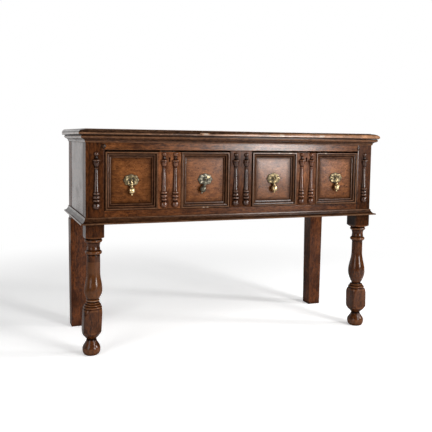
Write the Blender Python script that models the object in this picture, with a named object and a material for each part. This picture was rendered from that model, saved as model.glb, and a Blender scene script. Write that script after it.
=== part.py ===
"""A low oak dresser: turned front legs, two drawers side by side, mitred panels and split balusters.

Metres, +Z up. The front faces -Y, and the origin is on the floor under the middle of the top.
"""

import math

import bmesh
import bpy
from mathutils import Matrix, Vector

# Gaps and tolerances
JOINT_GAP = 0.0003
DRAWER_PLAY = 0.0015
RUNNER_PLAY = 0.0010
WELD = 0.000001
SMOOTH_ANGLE = math.radians(40)

# Carcase
CARCASE_WIDTH = 1.146
CARCASE_DEPTH = 0.425
POST_WIDTH = 0.064
TOP_RAIL_HEIGHT = 0.052
BOTTOM_RAIL_HEIGHT = 0.046
BOTTOM_RAIL_DEPTH = 0.040
MUNTIN_WIDTH = 0.087
MUNTIN_DEPTH = 0.030
SIDE_BOARD_THICKNESS = 0.018
BACK_BOARD_THICKNESS = 0.014
BACK_BOARD_SETBACK = 0.004
WORN_FOOT_INSET = 0.004
WORN_FOOT_HEIGHT = 0.006

# Top boards, with a thumbnail moulding on the front and both ends
TOP_THICKNESS = 0.021
TOP_SIDE_OVERHANG = 0.026
TOP_FRONT_OVERHANG = 0.0205
TOP_REAR_OVERHANG = 0.006
FRONT_BOARD_DEPTH = 0.264
THUMB_WIDTH = 0.026
THUMB_DEPTH = 0.0135
THUMB_STEP = 0.0015
THUMB_UNDERCUT = 0.003

# Cornice and base mouldings
CORNICE_HEIGHT = 0.025
CORNICE_REACH = 0.0175
CORNICE_FILLET = 0.006
CORNICE_COVE_HEIGHT = 0.008
CORNICE_COVE_REACH = 0.008
BASE_HEIGHT = 0.0222
BASE_REACH = 0.0185
BASE_LIP = 0.005
BASE_QUIRK = 0.002
MOULDING_BACK = 0.0025

# Turned front leg, from the floor up
FOOT_HEIGHT = 0.0535
FOOT_FLAT_RADIUS = 0.020
FOOT_WIDEST = 0.0215
FOOT_RADIUS = 0.0312
FOOT_NECK_RADIUS = 0.0165
KNEE_BOWL_HEIGHT = 0.0215
KNEE_BOWL_RADIUS = 0.0345
KNEE_SLOPE_HEIGHT = 0.0145
KNEE_BLOCK_HEIGHT = 0.0505
KNEE_CAP_HEIGHT = 0.0235
KNEE_DOME_HEIGHT = 0.0105
KNEE_RING_HEIGHT = 0.019
KNEE_RING_RADIUS = 0.025
VASE_FOOT_RADIUS = 0.0195
VASE_SWELL_HEIGHT = 0.0225
VASE_RADIUS = 0.0315
VASE_TAPER_HEIGHT = 0.075
VASE_STEM_HEIGHT = 0.0612
VASE_STEM_RADIUS = 0.0215
LOWER_RING_HEIGHT = 0.020
LOWER_RING_RADIUS = 0.0275
NECK_HEIGHT = 0.0255
NECK_RADIUS = 0.022
UPPER_RING_HEIGHT = 0.014
UPPER_RING_RADIUS = 0.031
SHOULDER_HEIGHT = 0.008
LEG_BLOCK_HEIGHT = 0.0448
LATHE_SPARE = 0.003
LEG_SIDES = 20

# Split baluster, from its foot up: its shaft takes up what the drawer's height leaves
BALUSTER_END_GAP = 0.0035
BALL_HEIGHT = 0.021
BALL_RADIUS = 0.0122
BALL_NECK_HEIGHT = 0.003
BALL_NECK_RADIUS = 0.0075
COLLAR_COUNT = 3
COLLAR_HEIGHT = 0.0123
COLLAR_RADIUS = 0.0132
COLLAR_GROOVE_RADIUS = 0.0096
SHAFT_FOOT_RADIUS = 0.0096
SHAFT_TOP_RADIUS = 0.0064
RING_HEIGHT = 0.005
RING_RADIUS = 0.0080
URN_HEIGHT = 0.026
URN_FOOT_RADIUS = 0.0050
URN_LIP_RADIUS = 0.0136
LID_HEIGHT = 0.011
FINIAL_NECK_HEIGHT = 0.008
FINIAL_NECK_RADIUS = 0.0045
FINIAL_HEIGHT = 0.010
FINIAL_RADIUS = 0.0074
BALUSTER_PAIR_SPACING = 0.042
BALUSTER_SIDES = 6

# Drawers
DRAWER_OPENING_HEIGHT = 0.208
FRONT_THICKNESS = 0.018
STRIP_WIDTH = 0.087
STRIP_RELIEF = 0.010
PANEL_MOULDING_WIDTH = 0.021
PANEL_MOULDING_HEIGHT = 0.013
PANEL_MOULDING_TOE = 0.0025
PANEL_MOULDING_FILLET = 0.004
DRAWER_SIDE_THICKNESS = 0.016
DRAWER_BACK_THICKNESS = 0.014
DRAWER_BOTTOM_THICKNESS = 0.010
DRAWER_SIDE_DROP = 0.012
DRAWER_REAR_GAP = 0.012
SIDE_PLAY = 0.002
RUNNER_HEIGHT = 0.022
RUNNER_BITE = 0.008
RUNNER_ABOVE_BOTTOM = 0.085

# Keyhole and lock
KEYHOLE_DROP = 0.022
KEYHOLE_HEIGHT = 0.016
KEYHOLE_EYE_RADIUS = 0.0035
KEYHOLE_SLOT_WIDTH = 0.005
KEYHOLE_EYE_STEPS = 10
LOCK_WIDTH = 0.056
LOCK_HEIGHT = 0.046
LOCK_DEPTH = 0.013
LOCK_WALL = 0.0016
LOCK_DROP = 0.0005
BOLT_WIDTH = 0.014
BOLT_THICKNESS = 0.005
BOLT_LENGTH = 0.020
MORTISE_PLAY = 0.0008
MORTISE_DEPTH = 0.012
MORTISE_CHEEK = 0.009

# Drop handles: lobed plate, split pin and drop
PLATE_WIDTH = 0.056
PLATE_HEIGHT = 0.042
PLATE_THICKNESS = 0.0012
PLATE_LOBES = 8
PLATE_LOBE_POINTS = 4
PLATE_LOBE_DEPTH = 0.16
BOSS_RADIUS = 0.0085
BOSS_HEIGHT = 0.003
PIN_HOLE_RADIUS = 0.003
PIN_HOLE_SIDES = 12
WIRE_RADIUS = 0.0007
WIRE_SIDES = 6
PIN_LEG_SPACING = 0.0026
PIN_EYE_WIDTH = 0.0064
PIN_EYE_LENGTH = 0.0075
PIN_TAIL = 0.011
PIN_BEND = 0.0012
DROP_EYE_TUBE = 0.0011
DROP_STEM_LENGTH = 0.018
DROP_STEM_RADIUS = 0.0017
DROP_BODY_LENGTH = 0.027
DROP_RADIUS = 0.0108
DROP_WIDEST = 0.011
DROP_TIP_LENGTH = 0.006
DROP_TIP_RADIUS = 0.0026
DROP_CLEARANCE = 0.0015
DROP_SIDES = 12
EYE_SIDES = 12
BENT_PIN_TILT = math.radians(18)

# Heights, worked out from the floor up
turned_height = (
    FOOT_HEIGHT + KNEE_BOWL_HEIGHT + KNEE_SLOPE_HEIGHT + KNEE_BLOCK_HEIGHT + KNEE_CAP_HEIGHT
    + KNEE_DOME_HEIGHT + KNEE_RING_HEIGHT + VASE_SWELL_HEIGHT + VASE_TAPER_HEIGHT + VASE_STEM_HEIGHT
    + LOWER_RING_HEIGHT + NECK_HEIGHT + UPPER_RING_HEIGHT + SHOULDER_HEIGHT
)
case_bottom = turned_height + LEG_BLOCK_HEIGHT
opening_bottom = case_bottom + BOTTOM_RAIL_HEIGHT
opening_top = opening_bottom + DRAWER_OPENING_HEIGHT
post_top = opening_top + TOP_RAIL_HEIGHT

# Plan of the carcase
side_x = CARCASE_WIDTH / 2
front_y = -(CARCASE_DEPTH + TOP_REAR_OVERHANG - TOP_FRONT_OVERHANG) / 2
rear_y = front_y + CARCASE_DEPTH
post_inner_x = side_x - POST_WIDTH
opening_width = post_inner_x - MUNTIN_WIDTH / 2
opening_middle_x = (post_inner_x + MUNTIN_WIDTH / 2) / 2
back_board_y = rear_y - BACK_BOARD_SETBACK - BACK_BOARD_THICKNESS

# Drawer frame: x from the middle, y back from the case's front, z up from the drawer's bottom edge
drawer_width = opening_width - 2 * DRAWER_PLAY
drawer_height = DRAWER_OPENING_HEIGHT - 2 * DRAWER_PLAY
drawer_end = back_board_y - DRAWER_REAR_GAP - front_y
front_back_y = STRIP_RELIEF + FRONT_THICKNESS
drawer_side_x = opening_width / 2 - SIDE_PLAY
panel_width = (drawer_width - STRIP_WIDTH) / 2
panel_middle_x = (STRIP_WIDTH + panel_width) / 2
turnings_height = (
    BALL_HEIGHT + BALL_NECK_HEIGHT + COLLAR_COUNT * COLLAR_HEIGHT + RING_HEIGHT + URN_HEIGHT + LID_HEIGHT
    + FINIAL_NECK_HEIGHT + FINIAL_HEIGHT
)
shaft_height = drawer_height - 2 * BALUSTER_END_GAP - turnings_height
lock_y = front_back_y + JOINT_GAP
bolt_end_y = lock_y + LOCK_DEPTH - LOCK_WALL - JOINT_GAP
bolt_start_y = bolt_end_y - BOLT_THICKNESS
top_rail_depth = bolt_end_y + MORTISE_PLAY + MORTISE_CHEEK
pivot_standoff = DROP_RADIUS + DROP_CLEARANCE
drop_eye_radius = WIRE_RADIUS + JOINT_GAP + DROP_EYE_TUBE


def clear_scene():
    for obj in list(bpy.data.objects):
        bpy.data.objects.remove(obj, do_unlink=True)


def finish(name, colour, roughness, metallic=0.0):
    """A plain surface finish: one colour, its roughness and whether it is metal."""
    material = bpy.data.materials.new(name)
    material.use_nodes = True
    shader = material.node_tree.nodes["Principled BSDF"]
    shader.inputs["Base Color"].default_value = (*colour, 1.0)
    shader.inputs["Roughness"].default_value = roughness
    shader.inputs["Metallic"].default_value = metallic
    return material


def frame_empty(name, place, parent=None):
    """An empty that carries the pieces of one moving body."""
    empty = bpy.data.objects.new(name, None)
    empty.parent = parent
    empty.location = place
    bpy.context.scene.collection.objects.link(empty)
    return empty


def piece(name, shape, surface, parent, place=(0, 0, 0)):
    """Turns a bmesh into a named object, with its faces out and its round work shaded smooth."""
    bmesh.ops.remove_doubles(shape, verts=shape.verts, dist=WELD)
    bmesh.ops.recalc_face_normals(shape, faces=shape.faces)
    mesh = bpy.data.meshes.new(name)
    shape.to_mesh(mesh)
    shape.free()
    mesh.shade_smooth()
    mesh.set_sharp_from_angle(angle=SMOOTH_ANGLE)
    mesh.materials.append(surface)
    obj = bpy.data.objects.new(name, mesh)
    obj.parent = parent
    obj.location = place
    bpy.context.scene.collection.objects.link(obj)
    return obj


def shaped_by(obj, operation, name, shape, place=(0, 0, 0)):
    """Cuts, joins or trims a piece with a hidden tool that stands in the same frame."""
    tool = piece(name, shape, obj.data.materials[0], obj.parent, place)
    tool.hide_render = True
    tool.display_type = "WIRE"
    modifier = obj.modifiers.new(name, "BOOLEAN")
    modifier.operation = operation
    modifier.object = tool
    return obj


def on_axis(axis, first, second, third):
    """A point whose first two values lie across an axis, and the third along it."""
    if axis == "x":
        return (third, first, second)
    if axis == "y":
        return (first, third, second)
    return (first, second, third)


def add_prism(shape, outline, axis, low, high):
    """Adds a straight bar of one outline, which runs along an axis from low to high."""
    face = shape.faces.new([shape.verts.new(on_axis(axis, a, b, low)) for a, b in outline])
    grown = bmesh.ops.extrude_face_region(shape, geom=[face])["geom"]
    moved = [part for part in grown if isinstance(part, bmesh.types.BMVert)]
    bmesh.ops.translate(shape, verts=moved, vec=on_axis(axis, 0, 0, high - low))


def prism(outline, axis, low, high):
    shape = bmesh.new()
    add_prism(shape, outline, axis, low, high)
    return shape


def rectangle(low_a, high_a, low_b, high_b):
    return [(low_a, low_b), (high_a, low_b), (high_a, high_b), (low_a, high_b)]


def box(low, high):
    low, high = Vector(low), Vector(high)
    shape = bmesh.new()
    spread = Matrix.Translation((low + high) / 2) @ Matrix.Diagonal((*(high - low), 1))
    bmesh.ops.create_cube(shape, size=1, matrix=spread)
    return shape


def board(name, low, high, surface, parent):
    """A plain board between two corners, with its origin in its middle."""
    half = (Vector(high) - Vector(low)) / 2
    return piece(name, box(-half, half), surface, parent, Vector(low) + half)


def lofted(rings, closed=False):
    """Joins rings of points, one after the other, and caps the ends or joins the last to the first."""
    shape = bmesh.new()
    rows = [[shape.verts.new(point) for point in ring] for ring in rings]
    pairs = list(zip(rows, rows[1:]))
    if closed:
        pairs.append((rows[-1], rows[0]))
    else:
        shape.faces.new(rows[0])
        shape.faces.new(rows[-1])
    for one, other in pairs:
        for k in range(len(one)):
            shape.faces.new((one[k - 1], one[k], other[k], other[k - 1]))
    return shape


def stacked(levels):
    """A solid of rectangles one above the other: each level is two corners in plan and a height."""
    return lofted([[(x, y, z) for x, y in rectangle(*plan)] for plan, z in levels])


def quarter_turns(steps):
    return [math.pi / 2 * k / steps for k in range(1, steps + 1)]


def round_out(start, end, steps=4):
    """A quarter ellipse that leaves its start level and ends upright."""
    (r0, z0), (r1, z1) = start, end
    turns = quarter_turns(steps)
    return [(r0 + (r1 - r0) * math.sin(t), z0 + (z1 - z0) * (1 - math.cos(t))) for t in turns]


def round_in(start, end, steps=4):
    """A quarter ellipse that leaves its start upright and ends level."""
    (r0, z0), (r1, z1) = start, end
    turns = quarter_turns(steps)
    return [(r0 + (r1 - r0) * (1 - math.cos(t)), z0 + (z1 - z0) * math.sin(t)) for t in turns]


def swell(start, end, steps=4):
    """A curve that leaves its start at a slant and ends upright, as a vase swells from its foot."""
    (r0, z0), (r1, z1) = start, end
    turns = quarter_turns(steps)
    return [(r0 + (r1 - r0) * math.sin(t), z0 + (z1 - z0) * t * 2 / math.pi) for t in turns]


def ease(start, end, steps=5):
    """An S-curve, upright at both ends."""
    (r0, z0), (r1, z1) = start, end
    shares = [k / steps for k in range(1, steps + 1)]
    return [(r0 + (r1 - r0) * (1 - math.cos(math.pi * s)) / 2, z0 + (z1 - z0) * s) for s in shares]


def bead(start, end, crown, steps=2):
    """A half-round ring between two points, with its crown at the given radius."""
    middle = (crown, (start[1] + end[1]) / 2)
    return round_out(start, middle, steps) + round_in(middle, end, steps)


def turned(profile, steps):
    """Spins a profile of (radius, height) points round the z axis."""
    shape = bmesh.new()
    chain = [shape.verts.new((radius, 0, height)) for radius, height in profile]
    edges = [shape.edges.new(pair) for pair in zip(chain, chain[1:])]
    bmesh.ops.spin(
        shape, geom=chain + edges, cent=(0, 0, 0), axis=(0, 0, 1), dvec=(0, 0, 0),
        angle=2 * math.pi, steps=steps, use_merge=True, use_duplicate=False,
    )
    return shape


def split_turned(profile, steps):
    """Half of a turned piece, split down its axis: the flat faces +Y and the round faces -Y."""
    angles = [math.pi * k / steps for k in range(steps + 1)]
    return lofted([[(-r * math.cos(t), -r * math.sin(t), z) for t in angles] for r, z in profile])


def leg_profile():
    """The lathe's cut up a front leg. Where the block stays square it runs clear of the corners."""
    uncut = POST_WIDTH / math.sqrt(2) + LATHE_SPARE
    foot_neck = (FOOT_NECK_RADIUS, FOOT_HEIGHT)
    bowl = (KNEE_BOWL_RADIUS, foot_neck[1] + KNEE_BOWL_HEIGHT)
    knee_low = (uncut, bowl[1] + KNEE_SLOPE_HEIGHT)
    knee_high = (uncut, knee_low[1] + KNEE_BLOCK_HEIGHT)
    cap = (KNEE_BOWL_RADIUS, knee_high[1] + KNEE_CAP_HEIGHT)
    dome = (KNEE_RING_RADIUS, cap[1] + KNEE_DOME_HEIGHT)
    vase_foot = (VASE_FOOT_RADIUS, dome[1] + KNEE_RING_HEIGHT)
    widest = (VASE_RADIUS, vase_foot[1] + VASE_SWELL_HEIGHT)
    stem_low = (VASE_STEM_RADIUS, widest[1] + VASE_TAPER_HEIGHT)
    stem_high = (VASE_STEM_RADIUS, stem_low[1] + VASE_STEM_HEIGHT)
    neck_low = (NECK_RADIUS, stem_high[1] + LOWER_RING_HEIGHT)
    neck_high = (NECK_RADIUS, neck_low[1] + NECK_HEIGHT)
    ring_top = (NECK_RADIUS, neck_high[1] + UPPER_RING_HEIGHT)
    shoulder = (UPPER_RING_RADIUS, ring_top[1])
    block = (uncut, ring_top[1] + SHOULDER_HEIGHT)
    points = [(0, 0), (FOOT_FLAT_RADIUS, 0)]
    points += round_out(points[-1], (FOOT_RADIUS, FOOT_WIDEST))
    points += ease(points[-1], foot_neck)
    points += round_out(foot_neck, bowl) + [knee_low, knee_high, cap]
    points += round_in(cap, dome, 3) + ease(dome, vase_foot, 3)
    points += swell(vase_foot, widest) + ease(widest, stem_low) + [stem_high]
    points += bead(stem_high, neck_low, LOWER_RING_RADIUS, 3) + [neck_high]
    points += bead(neck_high, ring_top, UPPER_RING_RADIUS, 3) + [shoulder, block]
    return points + [(uncut, post_top + LATHE_SPARE), (0, post_top + LATHE_SPARE)]


def baluster_profile():
    """A split baluster from its ball foot up: collars, shaft, ring, urn with its lid, and a bead on top."""
    points = [(BALL_NECK_RADIUS / 2, 0)]
    points += bead(points[-1], (BALL_NECK_RADIUS, BALL_HEIGHT), BALL_RADIUS, 3)
    points.append((BALL_NECK_RADIUS, points[-1][1] + BALL_NECK_HEIGHT))
    for _ in range(COLLAR_COUNT):
        groove = (COLLAR_GROOVE_RADIUS, points[-1][1])
        points.append(groove)
        points += bead(groove, (COLLAR_GROOVE_RADIUS, groove[1] + COLLAR_HEIGHT), COLLAR_RADIUS)
    shaft_foot = (SHAFT_FOOT_RADIUS, points[-1][1])
    shaft_top = (SHAFT_TOP_RADIUS, shaft_foot[1] + shaft_height)
    urn_foot = (URN_FOOT_RADIUS, shaft_top[1] + RING_HEIGHT)
    lip = (URN_LIP_RADIUS, urn_foot[1] + URN_HEIGHT)
    neck_low = (FINIAL_NECK_RADIUS, lip[1] + LID_HEIGHT)
    neck_high = (FINIAL_NECK_RADIUS, neck_low[1] + FINIAL_NECK_HEIGHT)
    points += [shaft_foot, shaft_top] + bead(shaft_top, urn_foot, RING_RADIUS)
    points += swell(urn_foot, lip) + round_in(lip, neck_low, 3) + [neck_high]
    crown = (FINIAL_NECK_RADIUS / 2, neck_high[1] + FINIAL_HEIGHT)
    return points + bead(neck_high, crown, FINIAL_RADIUS)


def straight_moulding(name, section, length, mitred, turn, place, surface, parent):
    """A run of moulding along +X whose section stands out to -Y, with its ends mitred where marked."""
    trim = JOINT_GAP / math.sqrt(2)
    near = [((trim - out) if mitred[0] else 0, -out, up) for out, up in section]
    far = [(length + ((out - trim) if mitred[1] else 0), -out, up) for out, up in section]
    obj = piece(name, lofted([near, far]), surface, parent, place)
    obj.rotation_euler.z = turn
    return obj


def mouldings(kind, section, bottom, surface, parent):
    """The three lengths of one moulding, round the front and both sides of the case."""
    half = side_x + JOINT_GAP
    front = front_y - JOINT_GAP
    run = rear_y - front
    right_angle = math.pi / 2
    straight_moulding(
        f"{kind}_front", section, 2 * half, (True, True), 0, (-half, front, bottom), surface, parent
    )
    straight_moulding(
        f"{kind}_left", section, run, (False, True), -right_angle, (-half, rear_y, bottom), surface, parent
    )
    straight_moulding(
        f"{kind}_right", section, run, (True, False), right_angle, (half, front, bottom), surface, parent
    )


def cornice_section():
    """A small cove at the foot, a swelling ovolo over it and a square fillet under the top."""
    top = CORNICE_HEIGHT - JOINT_GAP
    cove = (CORNICE_COVE_REACH, CORNICE_COVE_HEIGHT)
    ovolo_foot = (CORNICE_COVE_REACH, CORNICE_COVE_HEIGHT + JOINT_GAP)
    ovolo_top = (CORNICE_REACH, top - CORNICE_FILLET)
    points = [(0, 0), (MOULDING_BACK, 0)]
    points += round_in(points[-1], cove, 3) + round_out(ovolo_foot, ovolo_top)
    return points + [(CORNICE_REACH, top), (0, top)]


def base_section():
    """A square lip along the bottom, a quirk, and a long cove up to the case."""
    hollow_foot = (BASE_REACH - BASE_QUIRK, BASE_LIP)
    hollow_top = (MOULDING_BACK, BASE_HEIGHT)
    points = [(0, 0), (BASE_REACH, 0), (BASE_REACH, BASE_LIP), hollow_foot]
    return points + round_out(hollow_foot, hollow_top) + [(0, BASE_HEIGHT)]


def top_board(name, low_y, high_y, nose, surface, parent):
    """One plank of the top. Its ends are thumbnail-moulded, and so is its front where it has the nose."""
    half = side_x + TOP_SIDE_OVERHANG
    low = post_top + JOINT_GAP
    nose_low = TOP_THICKNESS - THUMB_STEP - THUMB_DEPTH
    section = [(THUMB_UNDERCUT, 0)] + round_in((THUMB_UNDERCUT, 0), (0, nose_low / 2), 2) + [(0, nose_low)]
    section += round_in(section[-1], (THUMB_WIDTH, TOP_THICKNESS - THUMB_STEP), 5)
    section.append((THUMB_WIDTH, TOP_THICKNESS))
    levels = [((-half + e, half - e, low_y + e * nose, high_y), z) for e, z in section]
    return piece(name, stacked(levels), surface, parent, (0, 0, low))


def build_top(surface, parent):
    front = front_y - TOP_FRONT_OVERHANG
    rear = rear_y + TOP_REAR_OVERHANG
    joint = front + FRONT_BOARD_DEPTH
    top_board("top_board_front", front, joint - JOINT_GAP / 2, True, surface, parent)
    top_board("top_board_rear", joint + JOINT_GAP / 2, rear, False, surface, parent)


def build_posts(surface, parent):
    """Front posts turned below the case, and plain rear posts with worn feet."""
    half = POST_WIDTH / 2
    for hand, sign in (("left", -1), ("right", 1)):
        axis_x = sign * (side_x - half)
        front_axis = (axis_x, front_y + half, 0)
        square = box((-half, -half, -LATHE_SPARE), (half, half, post_top))
        post = piece(f"front_post_{hand}", square, surface, parent, front_axis)
        shaped_by(post, "INTERSECT", f"lathe_{hand}", turned(leg_profile(), LEG_SIDES), front_axis)
        worn = half - WORN_FOOT_INSET
        levels = [
            ((-worn, worn, -worn, worn), 0),
            ((-half, half, -half, half), WORN_FOOT_HEIGHT),
            ((-half, half, -half, half), post_top),
        ]
        piece(f"rear_post_{hand}", stacked(levels), surface, parent, (axis_x, rear_y - half, 0))


def build_case(surface, hidden, parent):
    """Rails and muntin of the front, the side and back boards, and the runners."""
    reach = post_inner_x - JOINT_GAP
    muntin = MUNTIN_WIDTH / 2
    rail = board(
        "front_top_rail", (-reach, front_y, opening_top),
        (reach, front_y + top_rail_depth, post_top), surface, parent,
    )
    slots = bmesh.new()
    slot_half = BOLT_WIDTH / 2 + MORTISE_PLAY
    slot_y = (front_y + bolt_start_y - MORTISE_PLAY, front_y + bolt_end_y + MORTISE_PLAY)
    for middle in (-opening_middle_x, opening_middle_x):
        outline = rectangle(middle - slot_half, middle + slot_half, *slot_y)
        add_prism(slots, outline, "z", opening_top - MORTISE_DEPTH, opening_top + MORTISE_DEPTH)
    shaped_by(rail, "DIFFERENCE", "bolt_mortises", slots)
    board(
        "front_bottom_rail", (-reach, front_y, case_bottom),
        (reach, front_y + BOTTOM_RAIL_DEPTH, opening_bottom), surface, parent,
    )
    board(
        "front_muntin", (-muntin, front_y, opening_bottom + JOINT_GAP),
        (muntin, front_y + MUNTIN_DEPTH, opening_top - JOINT_GAP), surface, parent,
    )
    low_y = front_y + POST_WIDTH + JOINT_GAP
    high_y = rear_y - POST_WIDTH - JOINT_GAP
    runner_low = opening_bottom + DRAWER_PLAY + RUNNER_ABOVE_BOTTOM
    runner_high = runner_low + RUNNER_HEIGHT
    runner_x = post_inner_x - SIDE_PLAY - RUNNER_BITE
    wall_x = side_x - SIDE_BOARD_THICKNESS
    for hand, sign in (("left", -1), ("right", 1)):
        sides = sorted((sign * wall_x, sign * side_x))
        board(
            f"side_board_{hand}", (sides[0], low_y, case_bottom),
            (sides[1], high_y, post_top), surface, parent,
        )
        ends = sorted((sign * runner_x, sign * (wall_x - JOINT_GAP)))
        board(
            f"drawer_runner_{hand}", (ends[0], low_y, runner_low),
            (ends[1], high_y, runner_high), hidden, parent,
        )
    centre_half = muntin + SIDE_PLAY + RUNNER_BITE
    board(
        "drawer_runner_centre", (-centre_half, front_y + MUNTIN_DEPTH + JOINT_GAP, runner_low),
        (centre_half, back_board_y - JOINT_GAP, runner_high), hidden, parent,
    )
    board(
        "back_board", (-reach, back_board_y, case_bottom),
        (reach, back_board_y + BACK_BOARD_THICKNESS, post_top), surface, parent,
    )


def split_baluster(name, x, y, middle_z, surface, parent):
    """A split baluster glued to a face at depth y, centred on a height."""
    profile = baluster_profile()
    foot = middle_z - profile[-1][1] / 2
    return piece(name, split_turned(profile, BALUSTER_SIDES), surface, parent, (x, y - JOINT_GAP, foot))


def build_case_balusters(surface, parent):
    middle = (opening_bottom + opening_top) / 2
    stile_x = side_x - POST_WIDTH / 2
    for hand, sign in (("left", -1), ("right", 1)):
        split_baluster(f"stile_baluster_{hand}", sign * stile_x, front_y, middle, surface, parent)
        pair_x = sign * BALUSTER_PAIR_SPACING / 2
        split_baluster(f"muntin_baluster_{hand}", pair_x, front_y, middle, surface, parent)


def keyhole_outline():
    """A round eye over a straight slot, in x and z of the drawer's frame."""
    eye_z = drawer_height - KEYHOLE_DROP - KEYHOLE_EYE_RADIUS
    foot_z = drawer_height - KEYHOLE_DROP - KEYHOLE_HEIGHT
    half = KEYHOLE_SLOT_WIDTH / 2
    open_angle = math.asin(half / KEYHOLE_EYE_RADIUS)
    start = -math.pi / 2 + open_angle
    sweep = 2 * (math.pi - open_angle)
    angles = [start + sweep * k / KEYHOLE_EYE_STEPS for k in range(KEYHOLE_EYE_STEPS + 1)]
    arc = [(KEYHOLE_EYE_RADIUS * math.cos(t), eye_z + KEYHOLE_EYE_RADIUS * math.sin(t)) for t in angles]
    return arc + [(-half, foot_z), (half, foot_z)]


def drawer_front(hand, surface, parent):
    """The front board with its raised strip, bored for the key and for the two handle pins."""
    half = drawer_width / 2
    strip = STRIP_WIDTH / 2
    outline = [
        (-half, front_back_y), (-half, STRIP_RELIEF), (-strip, STRIP_RELIEF), (-strip, 0),
        (strip, 0), (strip, STRIP_RELIEF), (half, STRIP_RELIEF), (half, front_back_y),
    ]
    front = piece(f"{hand}_drawer_front", prism(outline, "z", 0, drawer_height), surface, parent)
    bores = prism(keyhole_outline(), "y", -FRONT_THICKNESS, front_back_y + FRONT_THICKNESS)
    height = drawer_height / 2
    radius = PIN_HOLE_RADIUS
    turns = [2 * math.pi * k / PIN_HOLE_SIDES for k in range(PIN_HOLE_SIDES)]
    for x in (-panel_middle_x, panel_middle_x):
        ring = [(x + radius * math.cos(t), height + radius * math.sin(t)) for t in turns]
        add_prism(bores, ring, "y", 0, front_back_y + FRONT_THICKNESS)
    return shaped_by(front, "DIFFERENCE", f"{hand}_front_bores", bores)


def drawer_side(hand, side, sign, surface, parent):
    """A drawer side with the groove that runs on the runner, in one long section."""
    outer = sign * drawer_side_x
    inner = sign * (drawer_side_x - DRAWER_SIDE_THICKNESS)
    groove = sign * (drawer_side_x - RUNNER_BITE - RUNNER_PLAY)
    low = DRAWER_BOTTOM_THICKNESS + JOINT_GAP
    high = drawer_height - DRAWER_SIDE_DROP
    groove_low = RUNNER_ABOVE_BOTTOM - RUNNER_PLAY
    groove_high = RUNNER_ABOVE_BOTTOM + RUNNER_HEIGHT + JOINT_GAP
    outline = [
        (inner, low), (outer, low), (outer, groove_low), (groove, groove_low),
        (groove, groove_high), (outer, groove_high), (outer, high), (inner, high),
    ]
    shape = prism(outline, "y", front_back_y + JOINT_GAP, drawer_end)
    piece(f"{hand}_drawer_{side}_side", shape, surface, parent)


def drawer_box(hand, surface, parent):
    """Sides, back and bottom of one drawer."""
    inner = drawer_side_x - DRAWER_SIDE_THICKNESS - JOINT_GAP
    low = DRAWER_BOTTOM_THICKNESS + JOINT_GAP
    for side, sign in (("left", -1), ("right", 1)):
        drawer_side(hand, side, sign, surface, parent)
    board(
        f"{hand}_drawer_back", (-inner, drawer_end - DRAWER_BACK_THICKNESS, low),
        (inner, drawer_end, drawer_height - DRAWER_SIDE_DROP), surface, parent,
    )
    board(
        f"{hand}_drawer_bottom", (-drawer_side_x, front_back_y + JOINT_GAP, 0),
        (drawer_side_x, drawer_end, DRAWER_BOTTOM_THICKNESS), surface, parent,
    )


def panel_section():
    """From the outer edge in: a flat fillet, a small step and an ogee down to a thin toe, as (in, out)."""
    crown = PANEL_MOULDING_HEIGHT
    step = (PANEL_MOULDING_FILLET, crown - PANEL_MOULDING_TOE)
    middle = ((step[0] + PANEL_MOULDING_WIDTH) / 2, crown / 2)
    toe = (PANEL_MOULDING_WIDTH - JOINT_GAP, PANEL_MOULDING_TOE)
    points = [(0, 0), (0, crown), (PANEL_MOULDING_FILLET, crown), step]
    points += round_out(step, middle, 3) + round_in(middle, toe, 3)
    return points + [(PANEL_MOULDING_WIDTH - JOINT_GAP, 0)]


def panel_moulding(name, middle_x, surface, parent):
    """Four mitred lengths glued up as one frame, planted round the field."""
    half = panel_width / 2 - JOINT_GAP
    field = STRIP_RELIEF - JOINT_GAP
    rings = []
    for across, up in ((-1, -1), (1, -1), (1, 1), (-1, 1)):
        edge_x = across * half
        edge_z = up * drawer_height / 2
        rings.append([(edge_x - across * i, -out, edge_z - up * i) for i, out in panel_section()])
    piece(name, lofted(rings, closed=True), surface, parent, (middle_x, field, drawer_height / 2))


def drawer_lock(hand, surface, parent):
    """An open-fronted iron case behind the keyhole, and the bolt that slides up through its top."""
    half = LOCK_WIDTH / 2
    top = drawer_height - LOCK_DROP
    slot_half = BOLT_WIDTH / 2 + JOINT_GAP
    case = board(
        f"{hand}_lock_case", (-half, lock_y, top - LOCK_HEIGHT),
        (half, lock_y + LOCK_DEPTH, top), surface, parent,
    )
    room = box(
        (-half + LOCK_WALL, lock_y - LOCK_WALL, top - LOCK_HEIGHT + LOCK_WALL),
        (half - LOCK_WALL, lock_y + LOCK_DEPTH - LOCK_WALL, top - LOCK_WALL),
    )
    shaped_by(case, "DIFFERENCE", f"{hand}_lock_room", room)
    slot = box(
        (-slot_half, bolt_start_y - JOINT_GAP, top - 2 * LOCK_WALL),
        (slot_half, bolt_end_y + JOINT_GAP / 2, top + LOCK_WALL),
    )
    shaped_by(case, "DIFFERENCE", f"{hand}_bolt_slot", slot)
    bolt_top = top - JOINT_GAP
    board(
        f"{hand}_lock_bolt", (-BOLT_WIDTH / 2, bolt_start_y, bolt_top - BOLT_LENGTH),
        (BOLT_WIDTH / 2, bolt_end_y, bolt_top), surface, parent,
    )


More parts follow.
